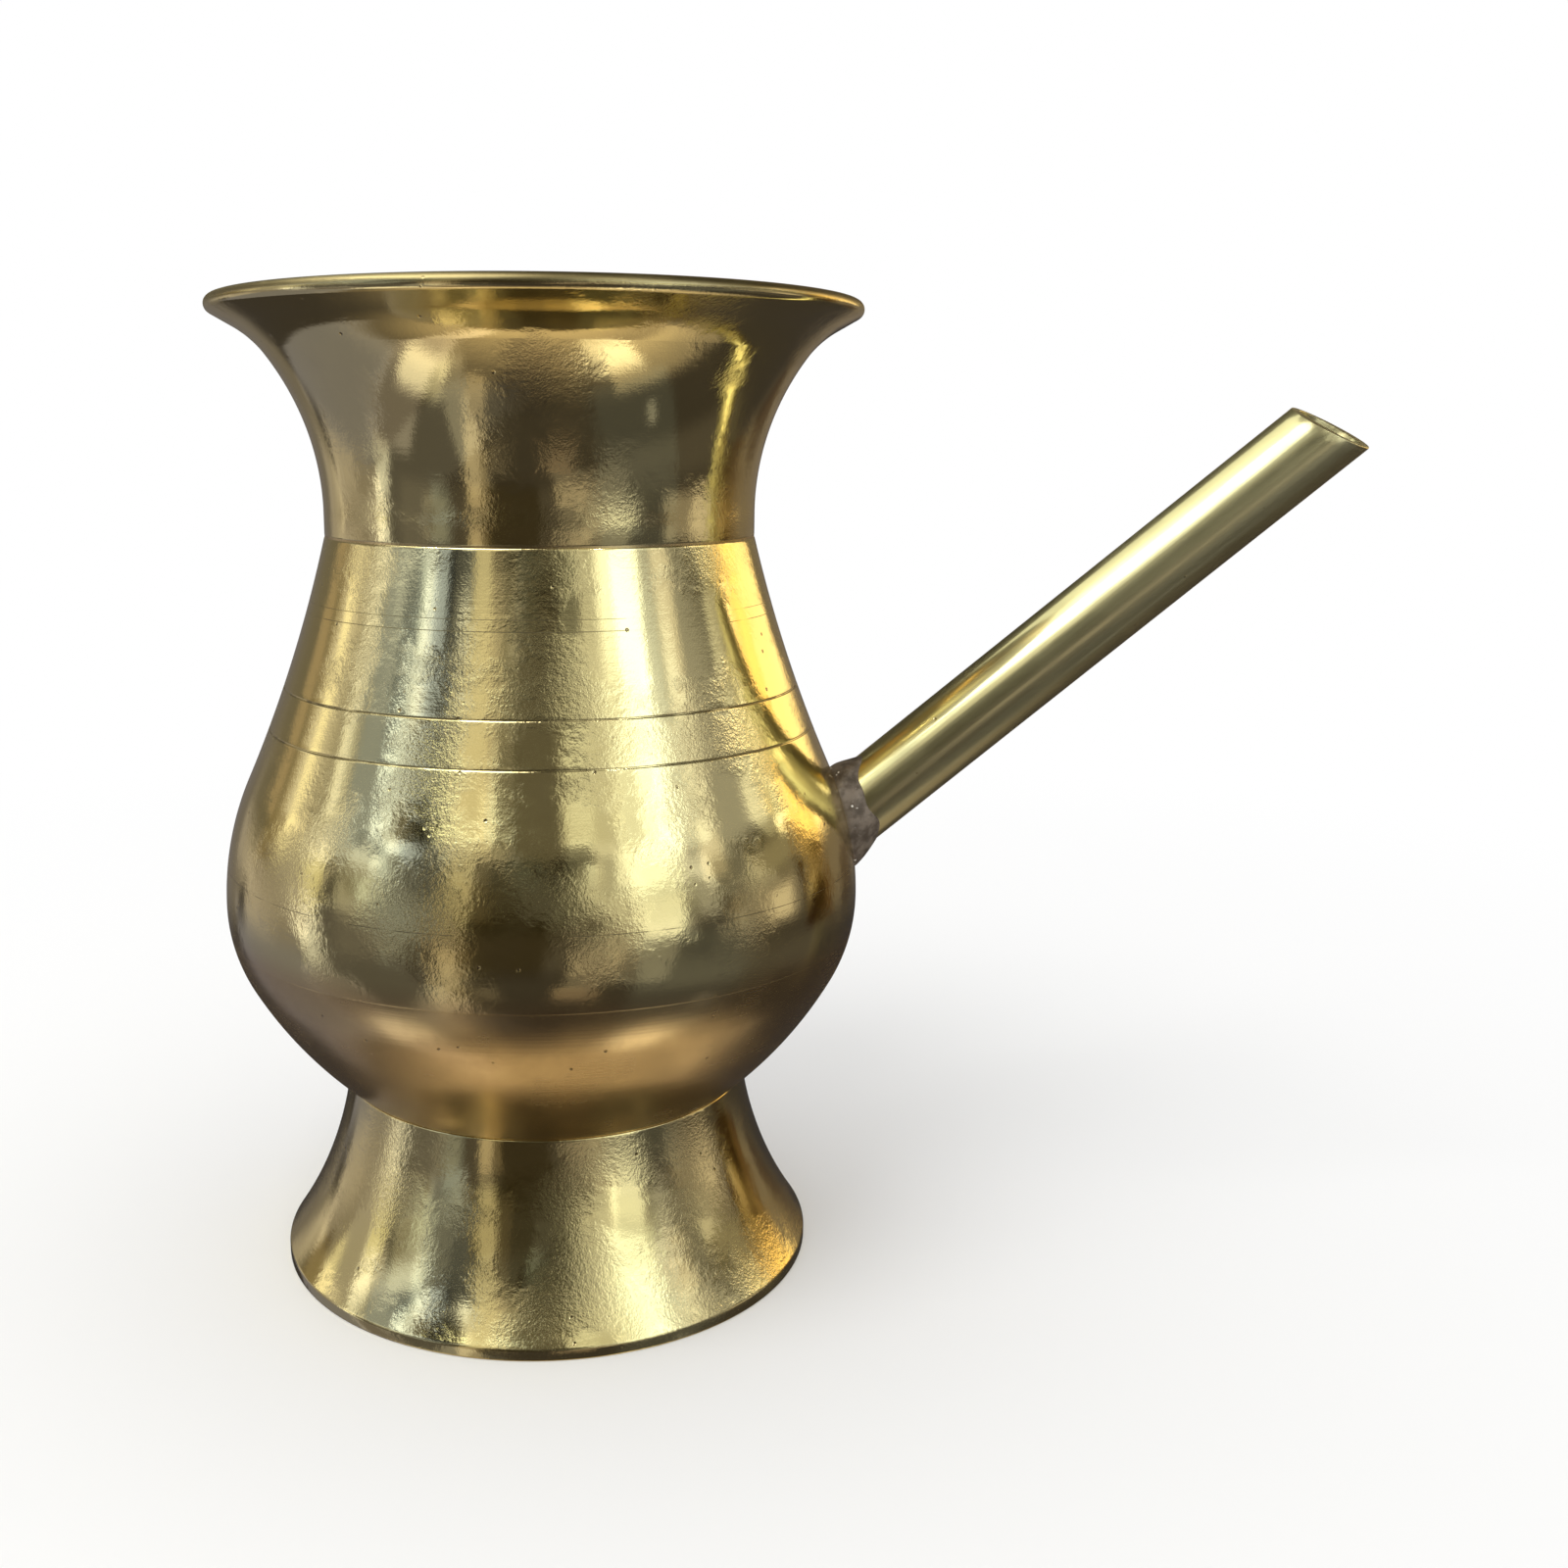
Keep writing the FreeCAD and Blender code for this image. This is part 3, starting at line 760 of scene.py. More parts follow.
def tubePoints(sizes, segments=160):
    # rows go round the tube; columns go from the inner end along the outside to the mouth,
    # which is cut on a slant: length = reach + r cos(angle - turn) tan(slant), and back inside;
    # each of the four edges is a quarter circle
    angles = np.linspace(0, 2 * math.pi, segments, endpoint=False)[:, None]
    slope = np.cos(angles - math.radians(sizes["turn"])) * math.tan(
        math.radians(sizes["slant"])
    )
    edge, start = sizes["edge"], sizes["start"]
    quarter = [
        (edge * (1 - math.cos(math.radians(bend))), edge * math.sin(math.radians(bend)))
        for bend in (30, 60, 90)
    ]
    steps = np.linspace(0, 1, 60)[None, :]
    columns = []

    def mouthAt(radius):
        return sizes["reach"] + radius * slope

    def add(radius, lengths):
        columns.append((np.full_like(lengths, radius), lengths))

    for wall, inwards, sense in ((sizes["outside"], -1, 1), (sizes["bore"], 1, -1)):
        other = sizes["bore"] if sense > 0 else sizes["outside"]
        run = start + edge + (mouthAt(wall) - edge - start - edge) * steps
        add(wall, run[:, ::sense])
        for radius, side, bends in ((wall, inwards, quarter), (other, -inwards, quarter[::-1])):
            for thinner, further in bends:
                end = mouthAt(radius) - edge if sense > 0 else start + edge + 0 * slope
                add(radius + side * thinner, end + sense * further)
    radii = np.hstack([column[0] for column in columns])
    lengths = np.hstack([column[1] for column in columns])
    return onTube(sizes, angles, radii, lengths)


dress(
    finishMesh(gridMesh("spoutTube", tubePoints(spout))),
    drawnBrass,
    "spout_tube",
)


def wallLength(sizes, angles, radii, grow=0.0):
    # how far along the tube its straight lines meet the body's skin, found by halving a
    # stretch that holds the meeting: outside where hypot(x, y) is over the skin's radius
    outline = skin(grow, body)
    low = np.full(np.broadcast(angles, radii).shape, -9.0)
    high = low + 24.0
    for halving in range(40):
        middle = (low + high) / 2
        points = onTube(sizes, angles, radii, middle)
        outside = np.hypot(points[..., 0], points[..., 1]) > np.interp(
            points[..., 2], outline[:, 1], outline[:, 0]
        )
        high = np.where(outside, middle, high)
        low = np.where(outside, low, middle)
    return (low + high) / 2


# each wander is a count of waves and how far it goes
collar = {
    "climb": 3.8,
    "climbWander": (7, 0.8),
    "spread": 1.1,
    "spreadWander": (9, 0.3),
    "fullness": 0.42,
    "fullnessWander": (11, 0.16),
    "lumps": (23, 0.07),
    "sunk": 0.5,
    "sag": 0.1,
    "throughWall": 0.4,
    "sharpAngle": 70,
}


def collarPoints(sizes, run, segments=220):
    # brazing metal run round the root: from the tube down to the wall in a lumpy fillet,
    # radius = outside + spread step^1.6 + fullness sin(pi step)^0.8, whose reach and fullness
    # wander with the angle, then back underneath through the tube's wall
    random = np.random.default_rng(7)
    angles = np.linspace(0, 2 * math.pi, segments, endpoint=False)[:, None]

    def wander(count, scale):
        total = np.zeros_like(angles)
        for wave in range(1, count + 1):
            total += (
                random.normal() * np.cos(wave * angles) + random.normal() * np.sin(wave * angles)
            ) / wave**0.6
        return total / np.abs(total).max() * scale

    outside, sunk, sag = sizes["outside"], run["sunk"], run["sag"]
    climb = run["climb"] + wander(*run["climbWander"])
    spread = run["spread"] + wander(*run["spreadWander"])
    full = run["fullness"] + wander(*run["fullnessWander"])
    steps = np.linspace(0, 1, 26)[None, :]
    bulge = np.sin(math.pi * steps)
    foot = wallLength(sizes, angles, outside + spread)
    root = wallLength(sizes, angles, outside + 0 * spread)
    radii = outside + spread * steps**1.6 + full * bulge**0.8
    lengths = (root + climb) * (1 - steps) + foot * steps - sag * bulge
    radii = radii + wander(*run["lumps"]) * bulge
    inside = np.full_like(foot, outside - run["throughWall"])
    radii = np.hstack([radii, radii[:, -1:] - sag, inside, inside])
    lengths = np.hstack([lengths, foot - sunk, root - sunk, root + climb - sag])
    return onTube(sizes, angles, radii, lengths)[:, ::-1]


dress(
    finishMesh(gridMesh("spoutBraze", collarPoints(spout, collar)), collar["sharpAngle"]),
    runMetal,
    "spout_braze",
)

def closeEnds(mesh):
    # the open ends of a pipe are filled, and its faces turned outwards
    work = bmesh.new()
    work.from_mesh(mesh)
    bmesh.ops.holes_fill(work, edges=work.edges, sides=0)
    bmesh.ops.recalc_face_normals(work, faces=work.faces)
    work.to_mesh(mesh)
    work.free()


def drillFor(piece, sizes):
    # the spout's round hole is cut into a shell; its edge is hidden within the tube's wall
    angles = np.linspace(0, 2 * math.pi, sizes["holeSegments"], endpoint=False)[:, None]
    steps = np.array([sizes["holeSteps"]])
    radii = np.full_like(steps, sizes["holeRadius"])
    drill = gridMesh("drill", onTube(sizes, angles, radii, steps), True, False)
    closeEnds(drill.data)
    cut = piece.modifiers.new("spoutHole", "BOOLEAN")
    cut.operation = "DIFFERENCE"
    cut.solver = "EXACT"
    cut.object = drill
    bpy.context.view_layer.update()
    evaluated = piece.evaluated_get(bpy.context.evaluated_depsgraph_get())
    drilled = bpy.data.meshes.new_from_object(evaluated)
    piece.modifiers.clear()
    piece.data = drilled
    bpy.data.objects.remove(drill)
    return finishMesh(piece)


dress(drillFor(upperBody, spout), polished, "upper_body")

# foot
footSizes = {
    "radius": 35.15,
    "ringHeight": 1.4,
    "ringWidth": 2.6,
    "sweep": 52.0,
    "wall": 1.5,
    "edge": 0.22,
    "meetBetween": (20, 24),
}


def footWall(sizes):
    # centre and radius of the arc of the foot's inner wall, which is the outer arc of radius
    # sweep through the ring's top and the seat, moved inwards by the wall
    ring = (sizes["radius"], sizes["ringHeight"])
    centre = rightMeeting(ring, sizes["sweep"], body["seat"], sizes["sweep"])
    return centre, sizes["sweep"] + sizes["wall"]


def footOutline(sizes):
    # a closed outline: the ring's outside, the outer arc up to the seat, the bowl's skin, and
    # the inner arc, radius = centre - sqrt(sweep^2 - (height - centre height)^2), back down
    ring = np.array([sizes["radius"], sizes["ringHeight"]])
    seat = np.array(body["seat"])
    centre, innerSweep = footWall(sizes)
    bowl = skin(0.0, body)

    def innerAt(height):
        return centre[0] - math.sqrt(innerSweep**2 - (height - centre[1]) ** 2)

    # the inner arc meets the bowl where both have the same radius
    heights = np.linspace(*sizes["meetBetween"], 400)
    inner = np.array([innerAt(h) for h in heights])
    gap = inner - np.interp(heights, bowl[:, 1], bowl[:, 0])
    meet = heights[np.argmin(np.abs(gap))]
    loop = np.vstack(
        [
            [[sizes["radius"], 0.0]],
            arc(centre, ring, seat, -1, 60),
            arc(centre, (innerAt(meet), meet), (innerAt(ring[1]), ring[1]), 1, 60),
            [[sizes["radius"] - sizes["ringWidth"], ring[1]]],
            [[sizes["radius"] - sizes["ringWidth"], 0.0]],
        ]
    )
    return softened(loop, sizes["edge"])


dress(
    turned("footShell", footOutline(footSizes)), polished, "foot"
)

# seam lines, and the run inside the foot
# both seams are thin rings with a three-cornered section: half the width that shows, how far
# that face lies under the skin, and how deep the point goes
neckSeam = {"radius": body["crease"][0], "height": body["crease"][1], "half": 0.26, "sunk": 0.02}
bellySeam = {"radius": seamRadius, "height": body["seamHeight"], "half": 0.06, "sunk": 0.006}
seamDepth = 0.42


def seamLine(name, sizes):
    # a point at radius - depth, and a face at radius - sunk from height - half to height + half
    radius, height = sizes["radius"], sizes["height"]
    half, face = sizes["half"], radius - sizes["sunk"]
    loop = np.array([[radius - seamDepth, height], [face, height - half], [face, height + half]])
    return turned(name, loop)


dress(seamLine("neckBraze", neckSeam), dressed, "neck_braze")
dress(seamLine("bellyBraze", bellySeam), dressed, "belly_braze")
innerRun = {"radius": 1.8}


def cornerRun(sizes):
    # brazing metal in the corner inside the foot: a hollow arc whose centre is its radius away
    # from the bowl's underside and from the foot's inner wall, so that it touches both
    radius = sizes["radius"]
    underCentre, underRadius = bowlUnderside(body)
    wallCentre, wallRadius = footWall(footSizes)
    corner = rightMeeting(underCentre, underRadius, wallCentre, wallRadius)
    centre = rightMeeting(underCentre, underRadius + radius, wallCentre, wallRadius + radius)
    high = underCentre + unit(centre - underCentre) * underRadius
    low = wallCentre + unit(centre - wallCentre) * wallRadius
    return np.vstack([[low, corner], arc(centre, high, low, -1, 16)[:-1]])


dress(
    turned("footBraze", cornerRun(innerRun)), runMetal, "foot_braze"
)

# studio
# Soft cards, and dark panels with a strength below zero, stand round the vessel out of shot
# and show only in the metal. Each row: azimuth (0 towards the camera, 90 to the right), half
# width, softness, lowest and highest elevation, softness of those ends, lean in degrees
# sideways per degree up, colour and strength; angles in degrees
cards = {
    "leftStripe": (-84, 4.6, 2, -22, 51, 3, -0.04, (0.7, 0.8, 1), 0.27),
    "leftStripeLow": (-84, 12.6, 2, -78, -21, 3, -0.28, (0.7, 0.7, 1), 0.13),
    "leftHaze": (-48, 10.4, 2, -3, 29, 2, 0.25, (0.35, 0.55, 1), 0.19),
    "leftSparkle": (-82, 20.7, 2, -51, 24, 4, -1.16, (0.5, 0.65, 1), 0.08),
    "leftWindow": (-64, 12.7, 2, 13, 32, 4, -0.16, (0.35, 0.55, 1), 0.32),
    "leftSpot": (-63, 13.1, 2, -56, -41, 4, 0.01, (0.95, 1, 0.95), 0.2),
    "frontLeft": (-27, 5, 2, 0, 80, 3, 0.04, (1, 0.95, 0.75), 0.22),
    "frontLeftWedge": (-26, 5.7, 1, -54, -2, 1, 0.14, (1, 0.8, 0.5), 0.13),
    "topBand": (11, 69.8, 1, 26, 44, 2, 0.12, (0.9, 0.95, 1), 0.07),
    "topSpot": (17, 12.4, 2, 31, 83, 1, 0.19, (0.9, 1, 1), 0.2),
    "warmSpeck": (-18, 3, 1, 3, 54, 1, -0.02, (1, 0.7, 0.45), 0.05),
    "frontRight": (32, 6.2, 2, 1, 31, 1, -0.11, (0.8, 0.9, 1), 0.25),
    "rustCrescent": (34, 18.7, 2, -21, 10, 3, 0.3, (1, 1, 1), 0.07),
    "rustLeft": (-18, 7, 2, -60, -13, 4, 0.57, (0.85, 0.9, 1), 0.1),
    "rightWindow": (47, 10.1, 2, -5, 42, 4, -0.07, (0.75, 0.9, 1), 0.31),
    "rightWindowLow": (57, 22.2, 2, -50, -4, 2, 0.01, (0.2, 0.6, 1), 0.06),
    "rightSpot": (68, 14.9, 2, -69, -53, 4, 0.25, (0.85, 0.95, 1), 0.19),
    "rightSecond": (63, 4.7, 2, -1, 66, 4, -0.18, (0.65, 0.75, 1), 0.25),
    "rightGlint": (65, 2.5, 1, -40, -33, 1, -0.02, (0.8, 0.85, 1), 0.13),
    "rightFill": (80, 18.7, 2, 17, 28, 4, 0.13, (0.65, 0.75, 1), 0.25),
    "rightTop": (41, 16.1, 2, 22, 40, 1, 0.62, (0.45, 0.7, 1), 0.16),
    "orangeCard": (137, 13.9, 2, 1, 30, 3, -1.19, (1, 0.7, 0.25), 0.42),
    "leftFill": (-100, 19.8, 2, -14, 16, 4, 0.45, (1, 0.95, 1), 0.14),
    "leftFar": (-116, 23.8, 2, -52, -14, 4, -0.21, (0.45, 0.55, 1), 0.21),
    "leftBack": (-150, 36.1, 2, -17, 63, 4, 1.47, (0.85, 0.8, 0.7), 0.12),
    "rightBack": (146, 23.2, 2, -14, 51, 4, 0.12, (1, 0.75, 0.35), 0.13),
    "leftPane": (-54, 5.9, 2, 21, 26, 1, 0.17, (0.4, 0.55, 1), 0.39),
    "leftSlant": (-47, 2.6, 2, 25, 34, 1, 0.44, (0.85, 0.9, 1), 0.25),
    "leftPaneLow": (-58, 4.7, 2, 4, 25, 1, 0.12, (0.5, 0.7, 1), 0.13),
    "leftPaneHigh": (-44, 8.7, 2, 33, 38, 1, 0.09, (0.9, 1, 0.8), 0.38),
    "rightHaze": (86, 11.7, 2, 2, 19, 4, -1.25, (0.65, 0.75, 1), 0.14),
    "frontStripe": (-12, 6.3, 1, 25, 76, 1, -0.09, (1, 1, 0.95), 0.09),
    "leftPaneOuter": (-65, 3.5, 2, 23, 38, 1, 0.05, (0.55, 0.7, 1), 0.35),
    "frontStreak": (10, 5.3, 1, 3, 34, 3, 0.27, (0.65, 0.85, 1), 0.1),
    "ceiling": (-86, 62.2, 2, 42, 73, 1, -0.14, (0.9, 1, 0.95), 0.41),
    "ceilingNear": (-33, 28.4, 1, 36, 56, 4, -0.09, (0.3, 0.65, 1), 0.23),
    "underSpout": (92, 39.6, 1, -64, -46, 3, 0.1, (1, 0.85, 0.6), 0.13),
    "frontHigh": (3, 5.1, 1, 5, 21, 1, -0.07, (0.4, 0.6, 1), 0.07),
    "leftEdgeRust": (-123, 5.1, 2, 6, 15, 1, 0.13, (1, 0.6, 0.25), 0.11),
    "leftEdgeGold": (-105, 3.1, 2, 2, 14, 1, 0.14, (1, 0.95, 0.25), 0.1),
    "rightSlant": (110, 7.5, 2, 13, 29, 1, -0.56, (0.95, 1, 0.9), 0.16),
    "rightWindowCore": (40, 11.3, 2, 12, 27, 2, 0.09, (0.7, 0.85, 1), 0.17),
    "spoutGlint": (103, 2.2, 1, 11, 16, 1, 0.08, (1, 0.95, 0.75), 0.31),
    "frontSpeck": (2, 1.7, 1, 15, 21, 1, -0.33, (0.55, 0.8, 1), 0.12),
    "frontSlant": (-4, 10.5, 1, 17, 27, 4, -0.8, (0.6, 0.75, 1), 0.1),
    "frontGlint": (21, 2.2, 1, 6, 24, 1, 0.02, (0.7, 0.85, 1), 0.21),
    "ceilingGap": (-37, 9, 2, 49, 59, 4, -0.04, (0.5, 0.65, 1), -0.31),
    "frontLeftPatch": (-10, 3.7, 1, 24, 29, 1, 0.06, (0.5, 0.65, 1), 0.08),
    "frontLeftHigh": (-17, 4, 1, 32, 40, 1, -0.04, (0.6, 0.85, 1), 0.08),
    "leftEdgeShade": (-116, 4.3, 2, -1, 11, 1, 0.51, (0.5, 0.65, 1), -0.16),
    "frontLeftSpeck": (-14, 1.2, 1, 30, 37, 2, -0.1, (0.6, 0.8, 1), 0.13),
    "windowBar": (55, 2, 1, -5, 10, 1, -0.13, (0.8, 1, 1), -0.12),
    "orangeGap": (109, 4.3, 2, 15, 23, 3, -0.04, (1, 0.65, 0.2), -0.53),
    "rightSecondWarm": (66, 5.4, 2, 10, 42, 2, 0.12, (1, 0.8, 0.55), 0.1),
    "frontBar": (-23, 1.8, 2, -29, 5, 2, 0.09, (0.9, 0.9, 1), -0.08),
    "frontPatch": (-3, 4.9, 1, 18, 26, 3, 0, (0.45, 0.75, 1), 0.1),
    "underShade": (-9, 15.4, 2, -75, -45, 4, -0.08, (1, 0.85, 0.45), -0.06),
    "rightEdgeGold": (113, 2.7, 1, -8, 6, 1, -0.06, (1, 0.95, 0.5), 0.11),
    "leftStripeGap": (-84, 4.5, 1, -2, 9, 4, 0.04, (0.3, 0.4, 1), -0.26),
    "leftHazeLow": (-46, 5.5, 2, -14, 3, 4, 0.13, (0.25, 0.6, 1), 0.1),
    "frontShade": (-7, 12.9, 2, -15, 4, 4, 0.23, (0.35, 0.5, 1), -0.08),
    "frontRightLow": (32, 5.1, 2, -9, 1, 1, 0.31, (1, 1, 0.9), 0.09),
    "orangeShade": (116, 9.5, 1, -14, 13, 1, -0.21, (0.15, 0.65, 1), -0.12),
    "leftSill": (-60, 4, 2, 1, 11, 1, -0.24, (0.35, 0.65, 1), 0.13),
    "leftCeilingGap": (-54, 5.1, 2, 45, 65, 4, 0.01, (0.7, 0.65, 1), -0.13),
    "rightUnderSpeck": (111, 1.8, 1, -11, -4, 3, 0.1, (0.85, 1, 0.75), 0.14),
    "orangeEdge": (116, 4.6, 2, 4, 21, 2, 0.31, (1, 0.75, 0.4), 0.19),
    "orangeInner": (111, 4, 2, 4, 15, 1, -0.02, (1, 0.8, 0.55), 0.15),
    "rightBackGap": (144, 7.5, 2, -14, -7, 2, -0.09, (0.8, 1, 0.95), -0.07),
    "rightUnderGold": (118, 4.1, 2, -33, -2, 2, 0.01, (1, 0.85, 0), 0.04),
    "beltRight": (88, 18, 4, -10, 2, 3, 0, (1, 0.9, 0.8), 0.15),
    "beltRightCore": (95, 6, 2, -9, -1, 2, 0, (1, 0.95, 0.85), 0.12),
    "beltLeft": (-65, 8, 2, -1, 19, 3, 0, (0.9, 0.95, 1), 0.14),
    "beltMiddle": (20, 5, 2, 7, 24, 2, 0, (1, 1, 0.95), 0.1),
    "beltRightUpper": (95, 14, 2, 3, 13, 3, 0, (1, 0.95, 0.8), 0.15),
    "beltOrange": (116, 8, 2, -6, 4, 3, 0, (1, 0.85, 0.5), 0.13),
    "beltEdge": (-130, 9, 4, -9, 0, 3, 0, (1, 0.95, 0.9), 0.08),
    "lowAll": (-10, 62, 4, -14, 0, 3, 0, (1, 0.95, 0.85), 0.03),
    "lowStripe": (-30, 4, 2, -14, -1, 2, 0, (1, 0.9, 0.7), 0.06),
    "lowLeft": (-51, 7, 2, -10, -3, 2, 0, (0.95, 1, 1), 0.06),
    "lowRust": (20, 9, 2, -16, -8, 2, 0, (1, 0.8, 0.6), 0.1),
    "panelShade": (-46, 5, 2, 20, 33, 3, 0, (1, 1, 1), -0.09),
    "panelShadeLow": (-40, 4, 2, 5, 24, 2, 0, (1, 1, 1), -0.05),
    "panelShadeMiddle": (-12, 4, 2, 30, 34, 2, 0, (1, 1, 1), -0.07),
    "neckRust": (14, 8, 2, -30, -20, 3, 0, (1, 0.7, 0.5), 0.13),
    "neckCentre": (-17, 5, 2, -30, -20, 3, 0, (1, 0.9, 0.75), 0.07),
    "neckRight": (76, 40, 4, -27, -14, 4, 0, (0.9, 0.9, 1), 0.04),
    "panelLeft": (-63, 5, 2, 20, 24, 2, 0, (1, 1, 1), -0.1),
    "panelEdge": (-57, 3, 2, 22, 28, 2, 0, (1, 1, 0.95), 0.09),
    "panelUpper": (-41, 7, 2, 27, 34, 2, 0, (1, 1, 1), -0.08),
    "panelMiddle": (-8, 30, 4, 17, 26, 3, 0, (1, 1, 1), -0.04),
    "edgeLeft": (-116, 12, 4, -15, -4, 4, 0, (0.9, 0.9, 1), 0.06),
    "footLeft": (-40, 7, 2, 1, 7, 2, 0, (0.95, 1, 1), 0.07),
    "footRight": (26, 8, 2, 2, 7, 2, 0, (1, 1, 1), -0.06),
}
setSizes = {
    "reach": 5.0,
    "middleHeight": 0.06,
    "wallColour": (0.171, 0.153, 0.122),
    "lowColour": (0.000, 0.000, 0.035),
    "underColour": (0.30, 0.23, 0.12),
    "horizon": (-4, 6),
    "underFade": (-80, -40),
    "blackCloth": (0.015, 0.012, 0.008),
    "levelWeights": (0.4, 0.4, 0.2),
    "pivot": 0.335,
    "steepness": 1.8,
}


def cardLight(start, azimuth, elevation):
    # the set's own dull colour with a tint below the horizon and another far down, and the
    # light of every card added to it
    total = start.joined(*setSizes["wallColour"])
    below = elevation.rise(*setSizes["horizon"], 1.0, 0.0)
    under = elevation.rise(*setSizes["underFade"], 1.0, 0.0)
    total = total.vector("ADD", total, start.joined(*setSizes["lowColour"]).times(below))
    total = total.vector("ADD", total, start.joined(*setSizes["underColour"]).times(under))
    for middle, half, soft, low, high, fade, lean, colour, strength in cards.values():
        tall = elevation.band((low + high) / 2, (high - low) / 2, fade)
        aside = azimuth if not lean else azimuth - elevation * lean
        mask = aside.band(middle, half, soft) * tall * strength
        total = total.vector("ADD", total, start.joined(*colour).times(mask))
    # a negative row is a dark panel, and nothing is darker than black cloth
    total = total.vector("MAXIMUM", total, start.joined(*setSizes["blackCloth"]))
    # the set's contrast: each light is multiplied by (its level / pivot) ^ steepness
    red, green, blue = total.parts()
    redShare, greenShare, blueShare = setSizes["levelWeights"]
    level = red * redShare + green * greenShare + blue * blueShare
    return total.times(start.maths("POWER", level / setSizes["pivot"], setSizes["steepness"]))


def cardMaterial():
    # azimuth = atan2(x, -y) and elevation = atan2(z - middle height, hypot(x, y)), in degrees
    material, start = newMaterial("reflectionCards")
    x, y, z = start.node("ShaderNodeTexCoord", out="Object").parts()
    azimuth = start.maths("ARCTAN2", x, y * -1.0) * math.degrees(1)
    across = start.maths("SQRT", x * x + y * y)
    elevation = start.maths("ARCTAN2", z - setSizes["middleHeight"], across) * math.degrees(1)
    light = start.node(
        "ShaderNodeEmission",
        feeds={"Color": cardLight(start, azimuth, elevation), "Strength": 1.0},
    )
    closeMaterial(start, light)
    material.cycles.emission_sampling = "NONE"
    return material


def domePoints(sizes, across=96, up=49):
    # a ball round the set: (r cos e sin a, -r cos e cos a, r sin e)
    azimuths = np.linspace(-math.pi, math.pi, across, endpoint=False)[:, None]
    elevations = np.linspace(-math.pi / 2, math.pi / 2, up)[None, :]
    reach = sizes["reach"] / mm
    return np.stack(
        [
            reach * np.cos(elevations) * np.sin(azimuths),
            -reach * np.cos(elevations) * np.cos(azimuths),
            sizes["middleHeight"] / mm + reach * np.sin(elevations) + 0 * azimuths,
        ],
        axis=-1,
    )


dome = finishMesh(gridMesh("reflectionCards", domePoints(setSizes), True, False))
dome.data.materials.append(cardMaterial())
dome.visible_camera = False
dome.visible_diffuse = False
dome.visible_shadow = False
dome.visible_transmission = False
dome.visible_volume_scatter = False

floorSizes = {"reach": 6.0, "colour": (0.86, 0.86, 0.855), "fadeStart": 0.09, "fadeEnd": 0.36}


def floorMaterial(sizes):
    # pale matt floor that brightens into the white background away from the vessel
    material, start = newMaterial("paleFloor")
    x, y, z = start.node("ShaderNodeTexCoord", out="Object").parts()
    far = start.maths("SQRT", x * x + y * y).rise(sizes["fadeStart"], sizes["fadeEnd"])
    matt = start.node(
        "ShaderNodeBsdfDiffuse", feeds={"Color": rgb(sizes["colour"]), "Roughness": 0.0}
    )
    white = start.node(
        "ShaderNodeEmission", feeds={"Color": (1, 1, 1, 1), "Strength": 1.0}
    )
    mixed = start.node("ShaderNodeMixShader", feeds={0: far, 1: matt, 2: white})
    closeMaterial(start, mixed)
    material.cycles.emission_sampling = "NONE"
    return material


far = floorSizes["reach"] / mm
floorCorners = [[[-far, -far, 0], [-far, far, 0]], [[far, -far, 0], [far, far, 0]]]
floor = gridMesh("floor", np.array(floorCorners, float), False, False)
floor.data.materials.append(floorMaterial(floorSizes))
floor.visible_glossy = False

world = bpy.data.worlds.new("studio")
bpy.context.scene.world = world
world.use_nodes = True
background = world.node_tree.nodes["Background"]
background.inputs["Color"].default_value = (1, 1, 1, 1)
background.inputs["Strength"].default_value = 1.0
world.cycles.sampling_method = "NONE"

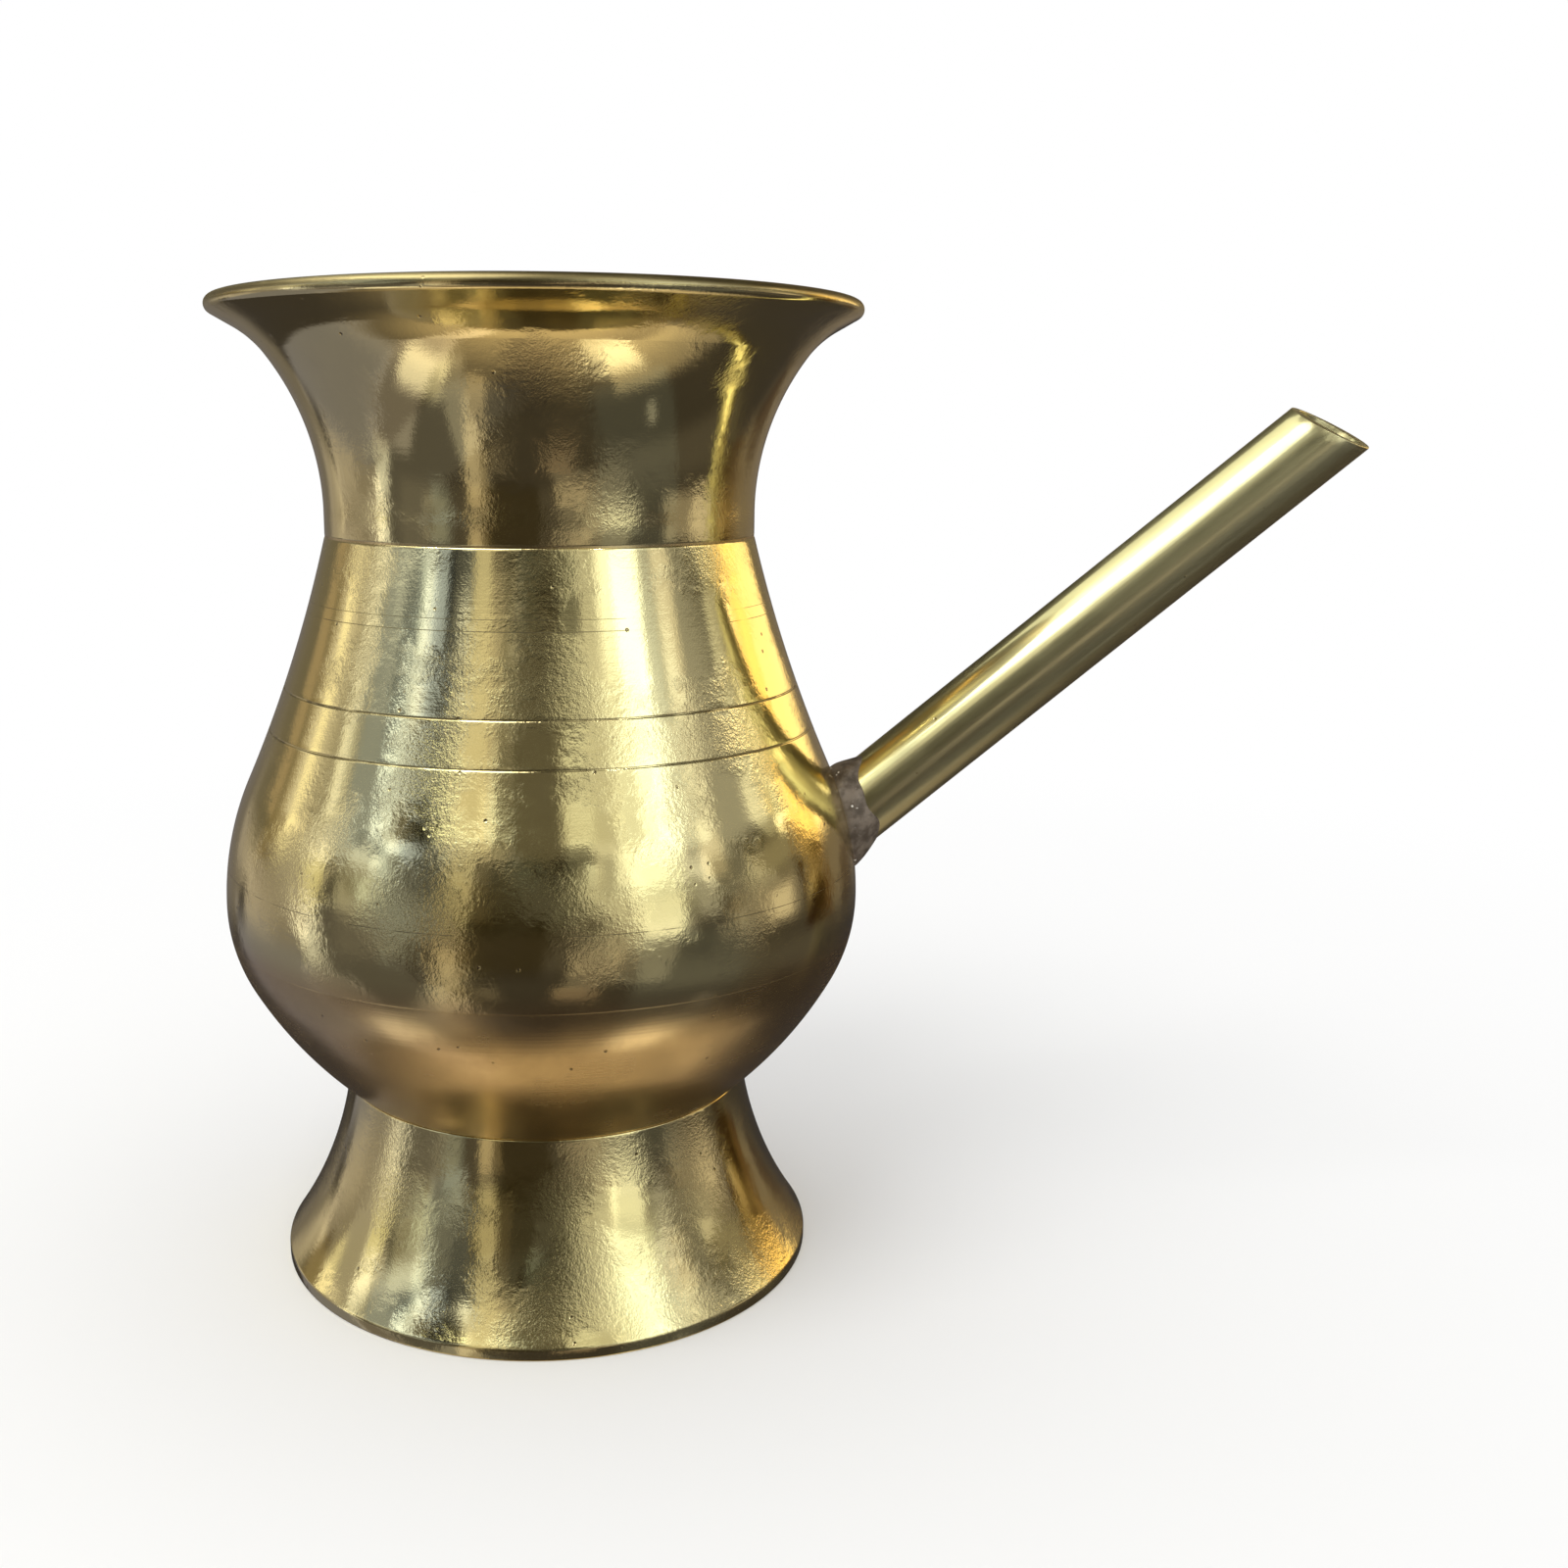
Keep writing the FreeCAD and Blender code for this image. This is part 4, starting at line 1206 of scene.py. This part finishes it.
# a soft lamp for the floor's shadow, and two small far ones that show only in the metal;
# angles in degrees, sizes in metres and power in watts
lamps = {
    "softbox": {"azimuth": -35, "elevation": 60, "away": 0.9, "width": 0.5, "power": 2.0},
    "leftSpark": {"azimuth": -80, "elevation": 55, "away": 1.3, "width": 0.10, "power": 1.3},
    "rightSpark": {"azimuth": 40, "elevation": 48, "away": 1.3, "width": 0.08, "power": 0.6},
}


def hangLamp(name, row):
    # a round lamp at away (cos lift sin turn, -cos lift cos turn, sin lift), aimed at the foot
    lamp = bpy.data.lights.new(name, "AREA")
    lamp.shape = "DISK"
    lamp.size = row["width"]
    lamp.energy = row["power"]
    turn, lift = math.radians(row["azimuth"]), math.radians(row["elevation"])
    place = Vector(
        (math.sin(turn) * math.cos(lift), -math.cos(turn) * math.cos(lift), math.sin(lift))
    )
    holder = bpy.data.objects.new(name, lamp)
    holder.location = place * row["away"]
    holder.rotation_mode = "QUATERNION"
    holder.rotation_quaternion = place.to_track_quat("Z", "Y")
    holder.visible_camera = False
    bpy.context.scene.collection.objects.link(holder)
    return holder


hung = {name: hangLamp(name, row) for name, row in lamps.items()}
for name in ("leftSpark", "rightSpark"):
    hung[name].visible_diffuse = False
    hung[name].visible_transmission = False
print("studio made")

# camera
camera = {
    "place": (0.0160, -0.2075, 0.1064),
    "down": 12.0,
    "roll": 0.2225,
    "lens": 37.117,
    "shift": 0.075,
    "sensor": 36.0,
    "near": 0.005,
    "far": 50.0,
}
lensData = bpy.data.cameras.new("camera")
lensData.sensor_width = camera["sensor"]
lensData.lens = camera["lens"]
lensData.shift_x = camera["shift"]
lensData.clip_start = camera["near"]
lensData.clip_end = camera["far"]
eye = bpy.data.objects.new("camera", lensData)
eye.matrix_world = (
    Matrix.Translation(camera["place"])
    @ Matrix.Rotation(math.radians(90 - camera["down"]), 4, "X")
    @ Matrix.Rotation(math.radians(camera["roll"]), 4, "Z")
)
bpy.context.scene.collection.objects.link(eye)
bpy.context.scene.camera = eye
bpy.context.scene.view_settings.view_transform = "Standard"
